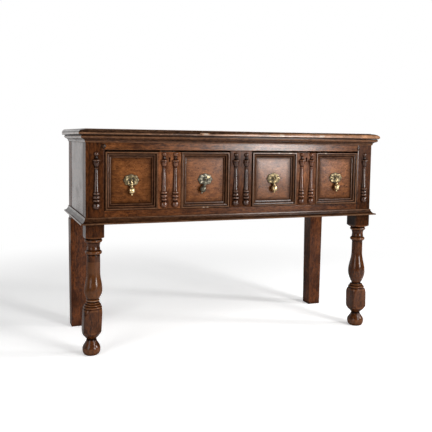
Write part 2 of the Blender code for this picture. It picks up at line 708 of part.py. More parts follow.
def handle_plate():
    """A cast plate with a scalloped edge, a raised boss and a hole for the pin. It faces -Y."""
    count = PLATE_LOBES * PLATE_LOBE_POINTS
    turns = [2 * math.pi * k / count for k in range(count)]
    dips = [1 - PLATE_LOBE_DEPTH * (1 - abs(math.cos(t * PLATE_LOBES / 2))) for t in turns]

    def ring(half_x, half_z, out, waves):
        return [(half_x * w * math.cos(t), -out, half_z * w * math.sin(t)) for t, w in zip(turns, waves)]

    plain = [1] * count
    edge = (PLATE_WIDTH / 2, PLATE_HEIGHT / 2)
    return lofted(
        [
            ring(PIN_HOLE_RADIUS, PIN_HOLE_RADIUS, 0, plain),
            ring(PIN_HOLE_RADIUS, PIN_HOLE_RADIUS, PLATE_THICKNESS + BOSS_HEIGHT, plain),
            ring(BOSS_RADIUS, BOSS_RADIUS, PLATE_THICKNESS, plain),
            ring(*edge, PLATE_THICKNESS, dips),
            ring(*edge, 0, dips),
        ],
        closed=True,
    )


def handle_pin():
    """A wire bent into an eye, its two legs passed back through the front and spread behind it.

    Its origin is the middle of the eye's front, where the drop hangs.
    """
    leg = PIN_LEG_SPACING / 2
    eye = PIN_EYE_WIDTH / 2
    back = pivot_standoff + FRONT_THICKNESS + JOINT_GAP + WIRE_RADIUS
    half = [
        (PIN_TAIL, back), (leg, back), (leg, PIN_EYE_LENGTH), (eye, PIN_EYE_LENGTH - 2 * PIN_BEND),
        (eye, PIN_BEND), (eye - PIN_BEND, 0),
    ]
    route = [Vector((x, y, 0)) for x, y in half + [(-x, y) for x, y in reversed(half)]]
    up = Vector((0, 0, 1))
    turns = [2 * math.pi * k / WIRE_SIDES for k in range(WIRE_SIDES)]
    rings = []
    for k, point in enumerate(route):
        before = (point - route[max(k - 1, 0)]).normalized()
        after = (route[min(k + 1, len(route) - 1)] - point).normalized()
        heading = (before + after).normalized()
        across = heading.cross(up)
        stretch = 1 / max(heading.dot(after), heading.dot(before))
        rings.append(
            [point + WIRE_RADIUS * (across * stretch * math.cos(t) + up * math.sin(t)) for t in turns]
        )
    return lofted(rings)


def drop_profile():
    """The stem, the pear-shaped body and the tip of a drop, from the tip up to the eye."""
    body_high = -drop_eye_radius - DROP_STEM_LENGTH
    body_low = body_high - DROP_BODY_LENGTH
    widest = (DROP_RADIUS, body_low + DROP_WIDEST)
    tip_top = (DROP_STEM_RADIUS, body_low)
    tip_low = (DROP_STEM_RADIUS / 2, body_low - DROP_TIP_LENGTH)
    points = [(0, tip_low[1]), tip_low]
    points += bead(tip_low, tip_top, DROP_TIP_RADIUS) + round_out(tip_top, widest)
    points += ease(widest, (DROP_STEM_RADIUS, body_high))
    return points + [(DROP_STEM_RADIUS, -drop_eye_radius), (0, -drop_eye_radius)]


def drop_eye():
    """The ring at the head of a drop. It turns on the wire, about the x axis."""
    rings = []
    for k in range(EYE_SIDES):
        around = 2 * math.pi * (k + 0.5) / EYE_SIDES
        out = Vector((0, math.cos(around), math.sin(around)))
        along = Vector((1, 0, 0))
        turns = [2 * math.pi * m / WIRE_SIDES for m in range(WIRE_SIDES)]
        tube = [DROP_EYE_TUBE * (out * math.cos(t) + along * math.sin(t)) for t in turns]
        rings.append([out * drop_eye_radius + step for step in tube])
    return lofted(rings, closed=True)


def drop_handle(name, x, tilt, surface, parent):
    """Plate, pin and drop at the middle of a panel. A bent pin lets its drop hang askew."""
    height = drawer_height / 2
    pivot = (x, STRIP_RELIEF - pivot_standoff, height)
    piece(f"{name}_plate", handle_plate(), surface, parent, (x, STRIP_RELIEF - JOINT_GAP, height))
    pin = piece(f"{name}_pin", handle_pin(), surface, parent, pivot)
    drop = piece(f"{name}_drop", turned(drop_profile(), DROP_SIDES), surface, parent, pivot)
    shaped_by(drop, "UNION", f"{name}_eye", drop_eye(), pivot)
    for part in (pin, drop, drop.modifiers[0].object):
        part.rotation_euler.y = tilt


def build_drawer(hand, middle_x, tilts, finishes, carcase):
    oak, panel, moulding, lining, brass, iron = finishes
    drawer = frame_empty(f"{hand}_drawer", (middle_x, front_y, opening_bottom + DRAWER_PLAY), carcase)
    drawer_front(hand, panel, drawer)
    drawer_box(hand, lining, drawer)
    drawer_lock(hand, iron, drawer)
    for side, sign, tilt in (("left", -1, tilts[0]), ("right", 1, tilts[1])):
        panel_x = sign * panel_middle_x
        panel_moulding(f"{hand}_drawer_{side}_moulding", panel_x, moulding, drawer)
        pair_x = sign * BALUSTER_PAIR_SPACING / 2
        split_baluster(f"{hand}_drawer_{side}_baluster", pair_x, 0, drawer_height / 2, oak, drawer)
        drop_handle(f"{hand}_drawer_{side}_handle", panel_x, tilt, brass, drawer)


def build():
    clear_scene()
    oak = finish("dark_oak", (0.075, 0.032, 0.016), 0.38)
    panel = finish("panel_oak", (0.150, 0.062, 0.025), 0.34)
    moulding = finish("moulding_oak", (0.060, 0.028, 0.017), 0.42)
    lining = finish("drawer_lining_oak", (0.280, 0.170, 0.085), 0.70)
    brass = finish("old_brass", (0.560, 0.420, 0.210), 0.30, 1.0)
    iron = finish("black_iron", (0.060, 0.055, 0.050), 0.55, 1.0)
    finishes = (oak, panel, moulding, lining, brass, iron)
    carcase = frame_empty("carcase", (0, 0, 0))
    build_top(oak, carcase)
    mouldings("cornice_moulding", cornice_section(), post_top - CORNICE_HEIGHT, moulding, carcase)
    build_posts(oak, carcase)
    build_case(oak, lining, carcase)
    mouldings("base_moulding", base_section(), case_bottom, moulding, carcase)
    build_case_balusters(oak, carcase)
    build_drawer("left", -opening_middle_x, (0, BENT_PIN_TILT), finishes, carcase)
    build_drawer("right", opening_middle_x, (0, 0), finishes, carcase)


build()
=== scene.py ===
"""The looks of a low oak dresser: turned front legs, a moulded case, two drawers and brass drop handles."""

import math
import random

import bmesh
import bpy
from mathutils import Matrix, Vector, noise


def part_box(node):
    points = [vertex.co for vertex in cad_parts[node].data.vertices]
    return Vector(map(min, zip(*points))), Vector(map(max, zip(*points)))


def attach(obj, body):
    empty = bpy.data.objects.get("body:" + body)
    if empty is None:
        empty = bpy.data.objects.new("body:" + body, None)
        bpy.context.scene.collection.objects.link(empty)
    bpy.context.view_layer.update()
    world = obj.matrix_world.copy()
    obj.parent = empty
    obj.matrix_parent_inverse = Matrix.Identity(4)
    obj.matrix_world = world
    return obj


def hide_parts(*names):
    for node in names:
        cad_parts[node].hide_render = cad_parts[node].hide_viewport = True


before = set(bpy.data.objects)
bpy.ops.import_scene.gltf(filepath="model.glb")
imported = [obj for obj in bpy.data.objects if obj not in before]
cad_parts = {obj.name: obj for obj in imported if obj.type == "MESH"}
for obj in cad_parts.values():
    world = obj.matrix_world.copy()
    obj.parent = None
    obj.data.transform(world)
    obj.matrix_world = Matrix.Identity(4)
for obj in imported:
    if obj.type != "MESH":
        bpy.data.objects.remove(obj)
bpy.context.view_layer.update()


# Front posts: one length of oak each, left square where the case is jointed into it and turned below.
# The turner cut a ring, a neck, a vase, a square knee and a ball foot. Stained dark and waxed, with
# old wax lying in the hollows and the crowns rubbed lighter. Painted shade darkens the arch where each
# knee's dome meets its flat faces, and painted sheen as well as wear lightens the vases.
class Tone:
    """A value that changes over a surface: one output of a node, on which sums and products add nodes."""

    def __init__(self, tree, socket):
        self.tree = tree
        self.socket = socket

    @classmethod
    def node(cls, tree, kind, settings, values, output=0):
        """Adds a node: first its settings, then its sockets' values or links."""
        fresh = tree.nodes.new(kind)
        for name, setting in settings.items():
            setattr(fresh, name, setting)
        for name, value in values.items():
            if isinstance(value, cls):
                tree.links.new(value.socket, fresh.inputs[name])
            else:
                fresh.inputs[name].default_value = value
        return cls(tree, fresh.outputs[output]) if fresh.outputs else None

    def worked(self, operation, first, second):
        """One sum of two values."""
        return Tone.node(self.tree, "ShaderNodeMath", {"operation": operation}, {0: first, 1: second})

    def __add__(self, other):
        return self.worked("ADD", self, other)

    def __sub__(self, other):
        return self.worked("SUBTRACT", self, other)

    def __rsub__(self, other):
        return self.worked("SUBTRACT", other, self)

    def __mul__(self, other):
        return self.worked("MULTIPLY", self, other)

    __radd__ = __add__
    __rmul__ = __mul__

    def between(self, low, high):
        """0 below low, 1 above high and a soft step from one to the other."""
        return Tone.node(
            self.tree, "ShaderNodeMapRange", {"interpolation_type": "SMOOTHSTEP"},
            {"Value": self, "From Min": low, "From Max": high, "To Min": 0.0, "To Max": 1.0},
        )

    def mixing(self, first, second):
        """One colour where this is 0 and another where it is 1."""
        colours = [c if isinstance(c, Tone) else (*c, 1.0) for c in (first, second)]
        return Tone.node(
            self.tree, "ShaderNodeMix", {"data_type": "RGBA"}, {0: self, 6: colours[0], 7: colours[1]}, 2
        )


BOARDS_APART = 41.0


def marked(tree, attribute):
    """What the maker of a mesh wrote on its points under a name."""
    return Tone.node(tree, "ShaderNodeAttribute", {"attribute_name": attribute}, {}, "Fac")


def shaded(name, along=""):
    """A new material: its node tree, its shader and a maker of noise that may run along one axis."""
    material = bpy.data.materials.new(name)
    material.use_nodes = True
    tree = material.node_tree
    place = Tone.node(tree, "ShaderNodeTexCoord", {}, {}, "Object")
    cut = marked(tree, "cut")

    def grain(across, length=0.0, detail=2.0, ragged=0.55, warp=0.0):
        """Noise with marks of this width and, along the grain, this length. No two boards are cut alike."""
        sizes = [length if axis == along else across for axis in "xyz"]
        spread = Tone.node(
            tree, "ShaderNodeVectorMath", {"operation": "MULTIPLY"}, {0: place, 1: [1 / s for s in sizes]}
        )
        return Tone.node(
            tree, "ShaderNodeTexNoise", {"noise_dimensions": "4D"},
            {"Vector": spread, "W": cut * BOARDS_APART, "Scale": 1.0, "Detail": detail, "Roughness": ragged,
             "Distortion": warp},
        )

    return material, tree, tree.nodes["Principled BSDF"], grain


def bumped(tree, strength, depth, height):
    """A surface that rises and falls with a tone, by a depth in metres."""
    return Tone.node(tree, "ShaderNodeBump", {}, {"Strength": strength, "Distance": depth, "Height": height})


def finished(tree, shader, **tones):
    """Leads each varying value to the shader's socket of that name."""
    for name, tone in tones.items():
        tree.links.new(tone.socket, shader.inputs[name.replace("_", " ")])


# Pale wood of chips. On the nose of the top these chips are painted glints as well.
CHIP_AND_GLINT_WOOD = (0.30, 0.225, 0.165)


def waxed_oak(
    name, along, dark, light, polish=0.75, mirror=0.20, mottle=0.0, wax=0.5, wear=0.6, dirt=0.85, bare=1.35,
    chalk=(0.060, 0.040, 0.024),
):
    """Stained and waxed oak with its grain along one axis, between a dark and a light brown.

    Mottle is 0 for straight figure and 1 for clouds. Wax lies in dark patches, and dirt with painted shade
    darkens the corners, as much as dirt says. Wear shows on rubbed crowns, in a pale brown that bare and
    chalk make out of the light one.
    """
    material, tree, shader, grain = shaded(name, along)
    hollow = marked(tree, "hollow")
    figure = grain(0.020, 0.30, detail=3.0, warp=0.5).between(0.34, 0.68)
    clouds = grain(0.018, 0.024, detail=4.0, ragged=0.65).between(0.36, 0.66)
    lines = grain(0.0024, 0.11, detail=3.0).between(0.36, 0.64)
    pores = grain(0.0007, 0.013, detail=1.0).between(0.60, 0.68)
    flecks = grain(0.0035, 0.012).between(0.58, 0.72)
    stains = grain(0.055, 0.080, detail=3.0).between(0.42, 0.72)
    scuffs = grain(0.0060, 0.016, detail=3.0, ragged=0.65).between(0.34, 0.66)
    specks = grain(0.0026, 0.0042).between(0.60, 0.69)
    knots = grain(0.007, 0.009, detail=1.0).between(0.66, 0.71)
    # Ambient occlusion: corners, creases and the places between parts are darkened, painted shade with dirt.
    corners = Tone.node(tree, "ShaderNodeAmbientOcclusion", {"samples": 6}, {"Distance": 0.020}, "AO")
    corner_dirt_and_shade = (1.0 - corners).between(0.11, 0.54)
    crust_and_shade = 1.0 - (1.0 - hollow.between(0.06, 0.55)) * (1.0 - corner_dirt_and_shade * dirt)
    rubbed = (0.0 - hollow).between(0.10, 0.70)
    # Chips show as pale wood, and on the nose they are painted glints too.
    chips_and_glints = (0.0 - hollow).between(1.1, 1.9)
    deep = [0.20 * value for value in dark]
    pale = [bare * value + extra for value, extra in zip(light, chalk)]
    tone = figure * (0.40 * (1 - mottle)) + clouds * (0.34 * mottle + 0.15) + lines * (0.32 - 0.17 * mottle)
    tone = tone + scuffs * (0.64 - 0.35 * mottle) + (0.25 * mottle - 0.21)
    colour = tone.mixing(dark, light)
    colour = (flecks * 0.32).mixing(colour, pale)
    colour = (stains * wax).mixing(colour, dark)
    colour = (pores * 0.60 + specks * (0.70 + 0.20 * mottle)).mixing(colour, deep)
    colour = (knots * mottle).mixing(colour, deep)
    # Old wax in the hollows, and painted shade with dirt in the corners, darken the colour.
    colour = (crust_and_shade * 0.92).mixing(colour, deep)
    colour = (rubbed * (0.25 + 0.45 * stains + 0.30 * clouds) * wear).mixing(colour, pale)
    relief = lines * 0.35 + figure * 0.15 + clouds * 0.35 - pores * 0.8 - specks * 0.5
    shine = polish * (1.0 - crust_and_shade * 0.85) * (1.0 - stains * 0.25) * (1.0 - pores * 0.4 - specks * 0.3)
    finished(
        tree, shader, Base_Color=chips_and_glints.mixing(colour, CHIP_AND_GLINT_WOOD), Coat_Weight=shine,
        Roughness=0.38 + lines * 0.05 + crust_and_shade * 0.22 + stains * 0.06,
        Normal=bumped(tree, 0.35, 0.0005, relief),
    )
    for socket, value in (("IOR", 1.45), ("Specular IOR Level", 0.0), ("Coat Roughness", mirror)):
        shader.inputs[socket].default_value = value
    return material


ROUND_BEND = 38
FLAT_FACE = 0.9995


def flattened(mesh, bend=ROUND_BEND):
    """Shades round work smooth up to a bend in degrees, and a board's flat faces flat."""
    mesh.set_sharp_from_angle(angle=math.radians(bend))
    for face in mesh.polygons:
        face.use_smooth = max(abs(part) for part in face.normal) < FLAT_FACE


def placed(name, data):
    """A new object in the scene."""
    obj = bpy.data.objects.new(name, data)
    bpy.context.scene.collection.objects.link(obj)
    return obj


def made(name, shape, surface, bend=ROUND_BEND):
    """A piece from a bmesh, its faces out and its round work smooth, with a tone of its own for its cut."""
    bmesh.ops.remove_doubles(shape, verts=shape.verts, dist=1e-6)
    bmesh.ops.recalc_face_normals(shape, faces=shape.faces)
    mesh = bpy.data.meshes.new(name)
    shape.to_mesh(mesh)
    shape.free()
    flattened(mesh, bend)
    mesh.materials.append(surface)
    cut = mesh.attributes.new("cut", "FLOAT", "POINT")
    cut.data.foreach_set("value", [random.Random(name).random()] * len(mesh.vertices))
    return placed(name, mesh)


def hung(obj, body, slot, *nodes):
    """Hangs a finished piece on its body, in place of the solids that it stands for."""
    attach(obj, body)
    if nodes:
        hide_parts(*nodes)
    return obj


CURVES = {
    "straight": lambda share: (share, share),
    "round out": lambda share: (math.sin(share * math.pi / 2), 1 - math.cos(share * math.pi / 2)),
    "swell": lambda share: (math.sin(share * math.pi / 2), share),
    "ease": lambda share: ((1 - math.cos(math.pi * share)) / 2, share),
}


def turner_cuts(cuts, steps=10):
    """Follows a turner's cuts up the lathe: a curve, the radius and height it ends at, and a bead's crown."""
    points = [cuts[0][1:3]]
    for kind, radius, height, *crown in cuts[1:]:
        r0, z0 = points[-1]
        for share in (k / steps for k in range(1, steps + 1)):
            if kind == "bead":
                edge = r0 if share <= 0.5 else radius
                r = edge + (crown[0] - edge) * math.sin(math.pi * share)
                z = (z0 + height) / 2 - (height - z0) / 2 * math.cos(math.pi * share)
            else:
                out, up = CURVES[kind](share)
                r, z = r0 + (radius - r0) * out, z0 + (height - z0) * up
            points.append((r, z))
    return points


def close_set(points, gap):
    """The same line with a point at least every gap, so that a mark on one point stays near it."""
    line = [points[0]]
    for one, other in zip(points, points[1:]):
        count = max(1, math.ceil(math.dist(one, other) / gap))
        line += [tuple(a + (b - a) * k / count for a, b in zip(one, other)) for k in range(1, count + 1)]
    return line


def eased(points, passes):
    """Takes the sharpness off a line's corners, as sanding and handling do. Its ends stay."""
    for _ in range(passes):
        inner = [
            tuple((a + 2 * b + c) / 4 for a, b, c in zip(*three))
            for three in zip(points, points[1:], points[2:])
        ]
        points = [points[0], *inner, points[-1]]
    return points


def hollows(points, reach, depth, near=60):
    """How far each point of a line lies inside the line's run round it: 1 in a quirk, -1 on a sharp crown."""
    found = []
    for k, point in enumerate(points):
        close = [p for p in points[max(0, k - near): k + near + 1] if math.dist(p, point) < reach]
        mean = [sum(p[axis] for p in close) / len(close) for axis in (0, 1)]
        before = points[max(k - 1, 0)]
        after = points[min(k + 1, len(points) - 1)]
        run = (after[0] - before[0], after[1] - before[1])
        length = math.hypot(*run) or 1.0
        outside = ((mean[0] - point[0]) * run[1] - (mean[1] - point[1]) * run[0]) / length
        found.append(max(-1.0, min(1.0, outside / depth)))
    return found


def around(count):
    """Even turns round a circle."""
    return [2 * math.pi * k / count for k in range(count)]


def hollow_layer(shape):
    """Where a shape keeps its marks: above 0 in a hollow and for painted shade, below 0 on a rubbed crown and
    for painted sheen and glints.
    """
    return shape.verts.layers.float.get("hollow") or shape.verts.layers.float.new("hollow")


def lofted(rings, marks, shape=None, closed=False):
    """Joins rings of points, writes each ring's marks on them and caps the ends or closes the round."""
    shape = bmesh.new() if shape is None else shape
    layer = hollow_layer(shape)
    rows = []
    for ring, ring_marks in zip(rings, marks):
        row = [shape.verts.new(point) for point in ring]
        for vertex, mark in zip(row, ring_marks):
            vertex[layer] = mark
        rows.append(row)
    pairs = list(zip(rows, rows[1:]))
    if closed:
        pairs.append((rows[-1], rows[0]))
    else:
        shape.faces.new(rows[0])
        shape.faces.new(rows[-1])
    for one, other in pairs:
        for k in range(len(one)):
            shape.faces.new((one[k - 1], one[k], other[k], other[k - 1]))
    return shape


HANDS = ("left", "right")
LEG_SIDES = 96
LEG_CUTS = {
    "left": (
        ("start", 0.0205, 0.0000), ("round out", 0.0318, 0.0215), ("ease", 0.0165, 0.0585),
        ("straight", 0.0205, 0.0610), ("swell", 0.0425, 0.1000), ("straight", 0.0425, 0.1390),
        ("straight", 0.0350, 0.1640), ("straight", 0.0318, 0.1650), ("bead", 0.0305, 0.1725, 0.0345),
        ("straight", 0.0276, 0.1735), ("bead", 0.0248, 0.1795, 0.0302), ("straight", 0.0218, 0.1805),
        ("bead", 0.0184, 0.1865, 0.0252), ("straight", 0.0178, 0.1890), ("bead", 0.0192, 0.1965, 0.0234),
        ("straight", 0.0210, 0.1982), ("swell", 0.0315, 0.2270), ("ease", 0.0234, 0.2905),
        ("straight", 0.0230, 0.3500),
    ),
    "right": (
        ("start", 0.0215, 0.0000), ("round out", 0.0330, 0.0225), ("ease", 0.0168, 0.0560),
        ("straight", 0.0205, 0.0585), ("swell", 0.0425, 0.0910), ("straight", 0.0425, 0.1350),
        ("straight", 0.0360, 0.1525), ("straight", 0.0325, 0.1560), ("straight", 0.0306, 0.1568),
        ("bead", 0.0264, 0.1660, 0.0320), ("straight", 0.0240, 0.1672), ("bead", 0.0186, 0.1745, 0.0266),
        ("straight", 0.0178, 0.1780), ("swell", 0.0334, 0.2260), ("ease", 0.0215, 0.3050),
        ("straight", 0.0210, 0.3500),
    ),
}
NECK_CUTS = (
    ("straight", 0.0222, 0.3552), ("bead", 0.0212, 0.3702, 0.0292), ("straight", 0.0232, 0.3714),
    ("ease", 0.0218, 0.3850), ("ease", 0.0240, 0.3972), ("bead", 0.0230, 0.4112, 0.0305),
    ("straight", 0.0310, 0.4122), ("straight", 0.0483, 0.4192),
)
BLOCK_CORNER = 0.0483
BLOCK_HEIGHTS = (0.421, 0.50, 0.60)
BLOCK_MARKS = {"left": (0.17, 0.17, 0.17, 0.15), "right": (0.34, 0.30, 0.06, -0.10)}
FOOT_TOP, KNEE_FOOT, VASE_FOOT, KNEE_TOP, VASE_TOP = 0.026, 0.075, 0.19, 0.20, 0.33
FOOT_RUBBED = 0.80
# The vases are lighter from wear and from painted sheen.
VASE_WEAR_AND_SHEEN = {"left": 0.44, "right": 0.12}
KNEE_RUBBED = {"left": 0.20, "right": 0.24}
KNEE_WIDEST = 0.0415
# Painted shade along the arch where each knee's turned dome meets a flat face.
ARCH_SHADE = 0.55
KNEE_EDGE = (6, 0.0030)
BLOCK_EDGE = (90, 0.0012)
LEAN = {"left": -0.0075, "right": 0.0020}
LEAN_TOP, LEAN_RUN = 0.25, 0.17
post_oak = waxed_oak(
    "post_oak", "z", (0.0165, 0.0050, 0.0016), (0.090, 0.027, 0.0070), polish=0.52, mirror=0.19, wax=0.8,
    chalk=(0.072, 0.034, 0.0125),
)
for hand in HANDS:
    low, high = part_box(f"front_post_{hand}")
    half = (high.x - low.x) / 2
    axis = (low + high) / 2
    line = eased(close_set(turner_cuts((*LEG_CUTS[hand], *NECK_CUTS)), 0.0012), 2)
    line_marks = hollows([(min(radius, 0.036), height) for radius, height in line], 0.008, 0.0026)
    for k, (_, height) in enumerate(line):
        if height < FOOT_TOP:
            line_marks[k] = max(-1.0, line_marks[k] - FOOT_RUBBED)
        elif KNEE_FOOT < height < VASE_TOP:
            line_marks[k] -= VASE_WEAR_AND_SHEEN[hand] if height > VASE_FOOT else KNEE_RUBBED[hand]
    line += [(BLOCK_CORNER, height) for height in (*BLOCK_HEIGHTS, high.z)]
    line_marks += BLOCK_MARKS[hand]
    rings = []
    marks = []
    for (radius, height), mark in zip(line, line_marks):
        crisp, soft = KNEE_EDGE if height < KNEE_TOP else BLOCK_EDGE
        leaning_x = axis.x + LEAN[hand] * max(0.0, min(1.0, (LEAN_TOP - height) / LEAN_RUN))
        ring = []
        ring_marks = []
        for turn in around(LEG_SIDES):
            blunt = (abs(math.cos(turn)) ** crisp + abs(math.sin(turn)) ** crisp) ** (1 / crisp)
            square = half / blunt
            overlap = max(soft - abs(radius - square), 0.0)
            reach = min(radius, square) - overlap ** 2 / (4 * soft)
            ring.append((leaning_x + reach * math.cos(turn), axis.y + reach * math.sin(turn), height))
            # Where the turned dome runs into a flat face of the knee: painted shade.
            arch = overlap / soft if radius < KNEE_WIDEST and height < KNEE_TOP else 0.0
            ring_marks.append(mark + ARCH_SHADE * arch)
        rings.append(ring)
        marks.append(ring_marks)
    turned = made(f"turned_post_{hand}", lofted(rings, marks), post_oak)
    hung(turned, "carcase", "dark_oak", f"front_post_{hand}")


# Rear posts, rails, muntin and side boards: sawn and planed oak, tenoned and pegged together.
# Their arrises are taken off and rubbed pale, and the rear feet are worn from standing on damp floors.
ARRIS_RUBBED = -0.75


def boxed(shape, low, high):
    """Adds a plain box between two corners."""
    spread = Matrix.Translation((low + high) / 2) @ Matrix.Diagonal((*(high - low), 1))
    return bmesh.ops.create_cube(shape, size=1, matrix=spread)["verts"]


def planed(shape, low, high, arris, worn_foot=0.0, aged=0.0):
    """Adds a board between two corners, its arrises planed off and rubbed, its faces darkened by age."""
    layer = hollow_layer(shape)
    low, high = Vector(low), Vector(high)
    middle = (low + high) / 2
    edges = list({edge for vertex in boxed(shape, low, high) for edge in vertex.link_edges})
    rounded = bmesh.ops.bevel(
        shape, geom=edges, offset=arris, segments=3, profile=0.5, affect="EDGES", clamp_overlap=True
    )
    for vertex in rounded["verts"]:
        flat = [min(abs(vertex.co[k] - low[k]), abs(vertex.co[k] - high[k])) < 1e-6 for k in range(3)]
        vertex[layer] = aged if any(flat) else ARRIS_RUBBED
        if worn_foot and vertex.co.z < low.z + 2 * arris:
            vertex.co.x += worn_foot if vertex.co.x < middle.x else -worn_foot
            vertex.co.y += worn_foot if vertex.co.y < middle.y else -worn_foot


def applied(obj):
    """Puts what a piece's modifiers make in place of its mesh, and hands back the old mesh."""
    bpy.context.view_layer.update()
    before = obj.data
    obj.data = bpy.data.meshes.new_from_object(obj.evaluated_get(bpy.context.evaluated_depsgraph_get()))
    obj.modifiers.clear()
    return before


def cut_from(obj, shape):
    """Cuts a hole of the given shape through a piece, for good."""
    bmesh.ops.recalc_face_normals(shape, faces=shape.faces)
    mesh = bpy.data.meshes.new("cutter")
    shape.to_mesh(mesh)
    shape.free()
    cutter = placed("cutter", mesh)
    modifier = obj.modifiers.new("cut", "BOOLEAN")
    modifier.operation = "DIFFERENCE"
    modifier.object = cutter
    whole = applied(obj)
    tone = whole.attributes["cut"].data[0].value
    obj.data.attributes["cut"].data.foreach_set("value", [tone] * len(obj.data.vertices))
    flattened(obj.data)
    bpy.data.objects.remove(cutter)
    bpy.data.meshes.remove(whole)
    return obj


def sliced(shape, spot, normal):
    """Adds points where a plane crosses a shape, to carry marks."""
    everything = shape.verts[:] + shape.edges[:] + shape.faces[:]
    bmesh.ops.bisect_plane(shape, geom=everything, plane_co=spot, plane_no=normal)


def darkened(shape, start, end, depth, steps=6):
    """Marks a rail darker towards its right end."""
    layer = hollow_layer(shape)
    for k in range(steps):
        sliced(shape, (start + (end - start) * k / steps, 0, 0), (1, 0, 0))
    for vertex in shape.verts:
        if vertex[layer] > -0.01:
            vertex[layer] = depth * max(0.0, min(1.0, (vertex.co.x - start) / (end - start)))


def planed_piece(name, surface, slot, node, low, high, arris, darker=None):
    """One planed board of the carcase, finished."""
    shape = bmesh.new()
    planed(shape, low, high, arris)
    if darker:
        darkened(shape, *darker)
    hung(made(name, shape, surface), "carcase", slot, node)


POST_ARRIS = 0.0016
RAIL_ARRIS = 0.0012
MUNTIN_ARRIS = 0.0010
WORN_FOOT = 0.004
LEG_FULLER = 0.003
LEG_TOP = 0.436
RIGHT_POST_AGE = 0.24
SIDE_STEP = 0.0012
BOTTOM_RAIL_DARKER = (0.30, 0.52, 0.26)
TOP_RAIL_DARKER = (0.15, 0.50, 0.28)
TOP_RAIL_WORN = 0.0015
BOLT_PLAY = Vector((0.001, 0.001, 0))
MORTISE = Vector((0, 0, 0.010))
rail_oak = waxed_oak("rail_oak", "x", (0.014, 0.0038, 0.0011), (0.112, 0.034, 0.0080), polish=0.55, wax=0.75)
top_rail_oak = waxed_oak(
    "top_rail_oak", "x", (0.028, 0.0088, 0.0028), (0.190, 0.063, 0.0168), polish=0.56, wax=0.75
)
muntin_oak = waxed_oak("muntin_oak", "z", (0.021, 0.0064, 0.0022), (0.105, 0.033, 0.0095), polish=0.14)
rear_post_oak = waxed_oak(
    "rear_post_oak", "z", (0.020, 0.0052, 0.0016), (0.150, 0.042, 0.0102), polish=0.45, wax=0.7, wear=0.2
)
side_oak = waxed_oak("side_oak", "y", (0.022, 0.0080, 0.0036), (0.090, 0.034, 0.0125), polish=0.82)
for hand in HANDS:
    low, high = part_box(f"rear_post_{hand}")
    shape = bmesh.new()
    if hand == "left":
        fuller = Vector((LEG_FULLER, 0, 0))
        leg_high = Vector((high.x, high.y, LEG_TOP)) + fuller
        planed(shape, low - fuller, leg_high, POST_ARRIS, worn_foot=WORN_FOOT)
        planed(shape, (low.x, low.y, LEG_TOP - POST_ARRIS), high, POST_ARRIS)
    else:
        planed(shape, low, high, POST_ARRIS, worn_foot=WORN_FOOT, aged=RIGHT_POST_AGE)
    hung(made(f"square_post_{hand}", shape, rear_post_oak), "carcase", "dark_oak", f"rear_post_{hand}")
    low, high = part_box(f"side_board_{hand}")
    if hand == "left":
        low.x += SIDE_STEP
    else:
        high.x -= SIDE_STEP
    planed_piece(f"case_side_{hand}", side_oak, "dark_oak", f"side_board_{hand}", low, high, RAIL_ARRIS)
for node, surface, arris, darker in (
    ("front_bottom_rail", rail_oak, RAIL_ARRIS, BOTTOM_RAIL_DARKER),
    ("front_muntin", muntin_oak, MUNTIN_ARRIS, None),
):
    planed_piece(f"planed_{node}", surface, "dark_oak", node, *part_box(node), arris, darker)
low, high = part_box("front_top_rail")
rail_foot = low.z
shape = bmesh.new()
planed(shape, low + Vector((0, 0, TOP_RAIL_WORN)), high, RAIL_ARRIS)
darkened(shape, *TOP_RAIL_DARKER)
top_rail = made("planed_front_top_rail", shape, top_rail_oak)
mortises = bmesh.new()
for hand in HANDS:
    low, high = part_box(f"{hand}_lock_bolt")
    low.z = high.z = rail_foot
    boxed(mortises, low - MORTISE - BOLT_PLAY, high + MORTISE + BOLT_PLAY)
hung(cut_from(top_rail, mortises), "carcase", "dark_oak", "front_top_rail")


# Back: two wide boards nailed on behind, sawn and never polished, dry and grey-brown with dust.
# Drawer runners: plain strips nailed inside the case, rubbed by the drawer sides.
def dry_oak(name, along, dark, light):
    """Oak left bare: sawn, dry and dusty, with its pores open."""
    material, tree, shader, grain = shaded(name, along)
    lines = grain(0.003, 0.16, detail=3.0).between(0.30, 0.70)
    figure = grain(0.030, 0.30, detail=3.0, warp=0.6).between(0.32, 0.70)
    pores = grain(0.0008, 0.014, detail=1.0).between(0.58, 0.68)
    dust = grain(0.11, 0.11, detail=4.0).between(0.40, 0.75)
    rubbed = (0.0 - marked(tree, "hollow")).between(0.10, 0.70)
    colour = (figure * 0.5 + lines * 0.5).mixing(dark, light)
    colour = (dust * 0.45).mixing(colour, [0.5 * value for value in dark])
    colour = (pores * 0.5).mixing(colour, [0.3 * value for value in dark])
    colour = (rubbed * 0.4).mixing(colour, [0.7 * value + 0.09 for value in light])
    finished(
        tree, shader, Base_Color=colour, Roughness=0.62 + lines * 0.12 + dust * 0.12,
        Normal=bumped(tree, 0.45, 0.0008, lines * 0.5 - pores * 0.7),
    )
    return material


BACK_LOWER = 0.165
BACK_GAP = 0.0012
BACK_ARRIS = 0.0009
RUNNER_ARRIS = 0.0008
back_oak = dry_oak("back_oak", "x", (0.070, 0.042, 0.026), (0.190, 0.120, 0.072))
lining_oak = dry_oak("lining_oak", "y", (0.120, 0.066, 0.032), (0.300, 0.180, 0.092))
low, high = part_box("back_board")
back_joint = low.z + BACK_LOWER
for name, bottom, top in (
    ("back_board_lower", low.z, back_joint - BACK_GAP / 2),
    ("back_board_upper", back_joint + BACK_GAP / 2, high.z),
):
    corners = (low.x, low.y, bottom), (high.x, high.y, top)
    planed_piece(name, back_oak, "dark_oak", "back_board", *corners, BACK_ARRIS)
for place in ("left", "centre", "right"):
    node = f"drawer_runner_{place}"
    planed_piece(
        f"planed_runner_{place}", lining_oak, "drawer_lining_oak", node, *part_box(node), RUNNER_ARRIS
    )


# Pegs and nails: the tenons are held by riven oak pegs, left a little proud and darker than the frame.
# The back boards are held by hand-made nails with flat faceted heads, gone brown.
SHANK = 0.0015


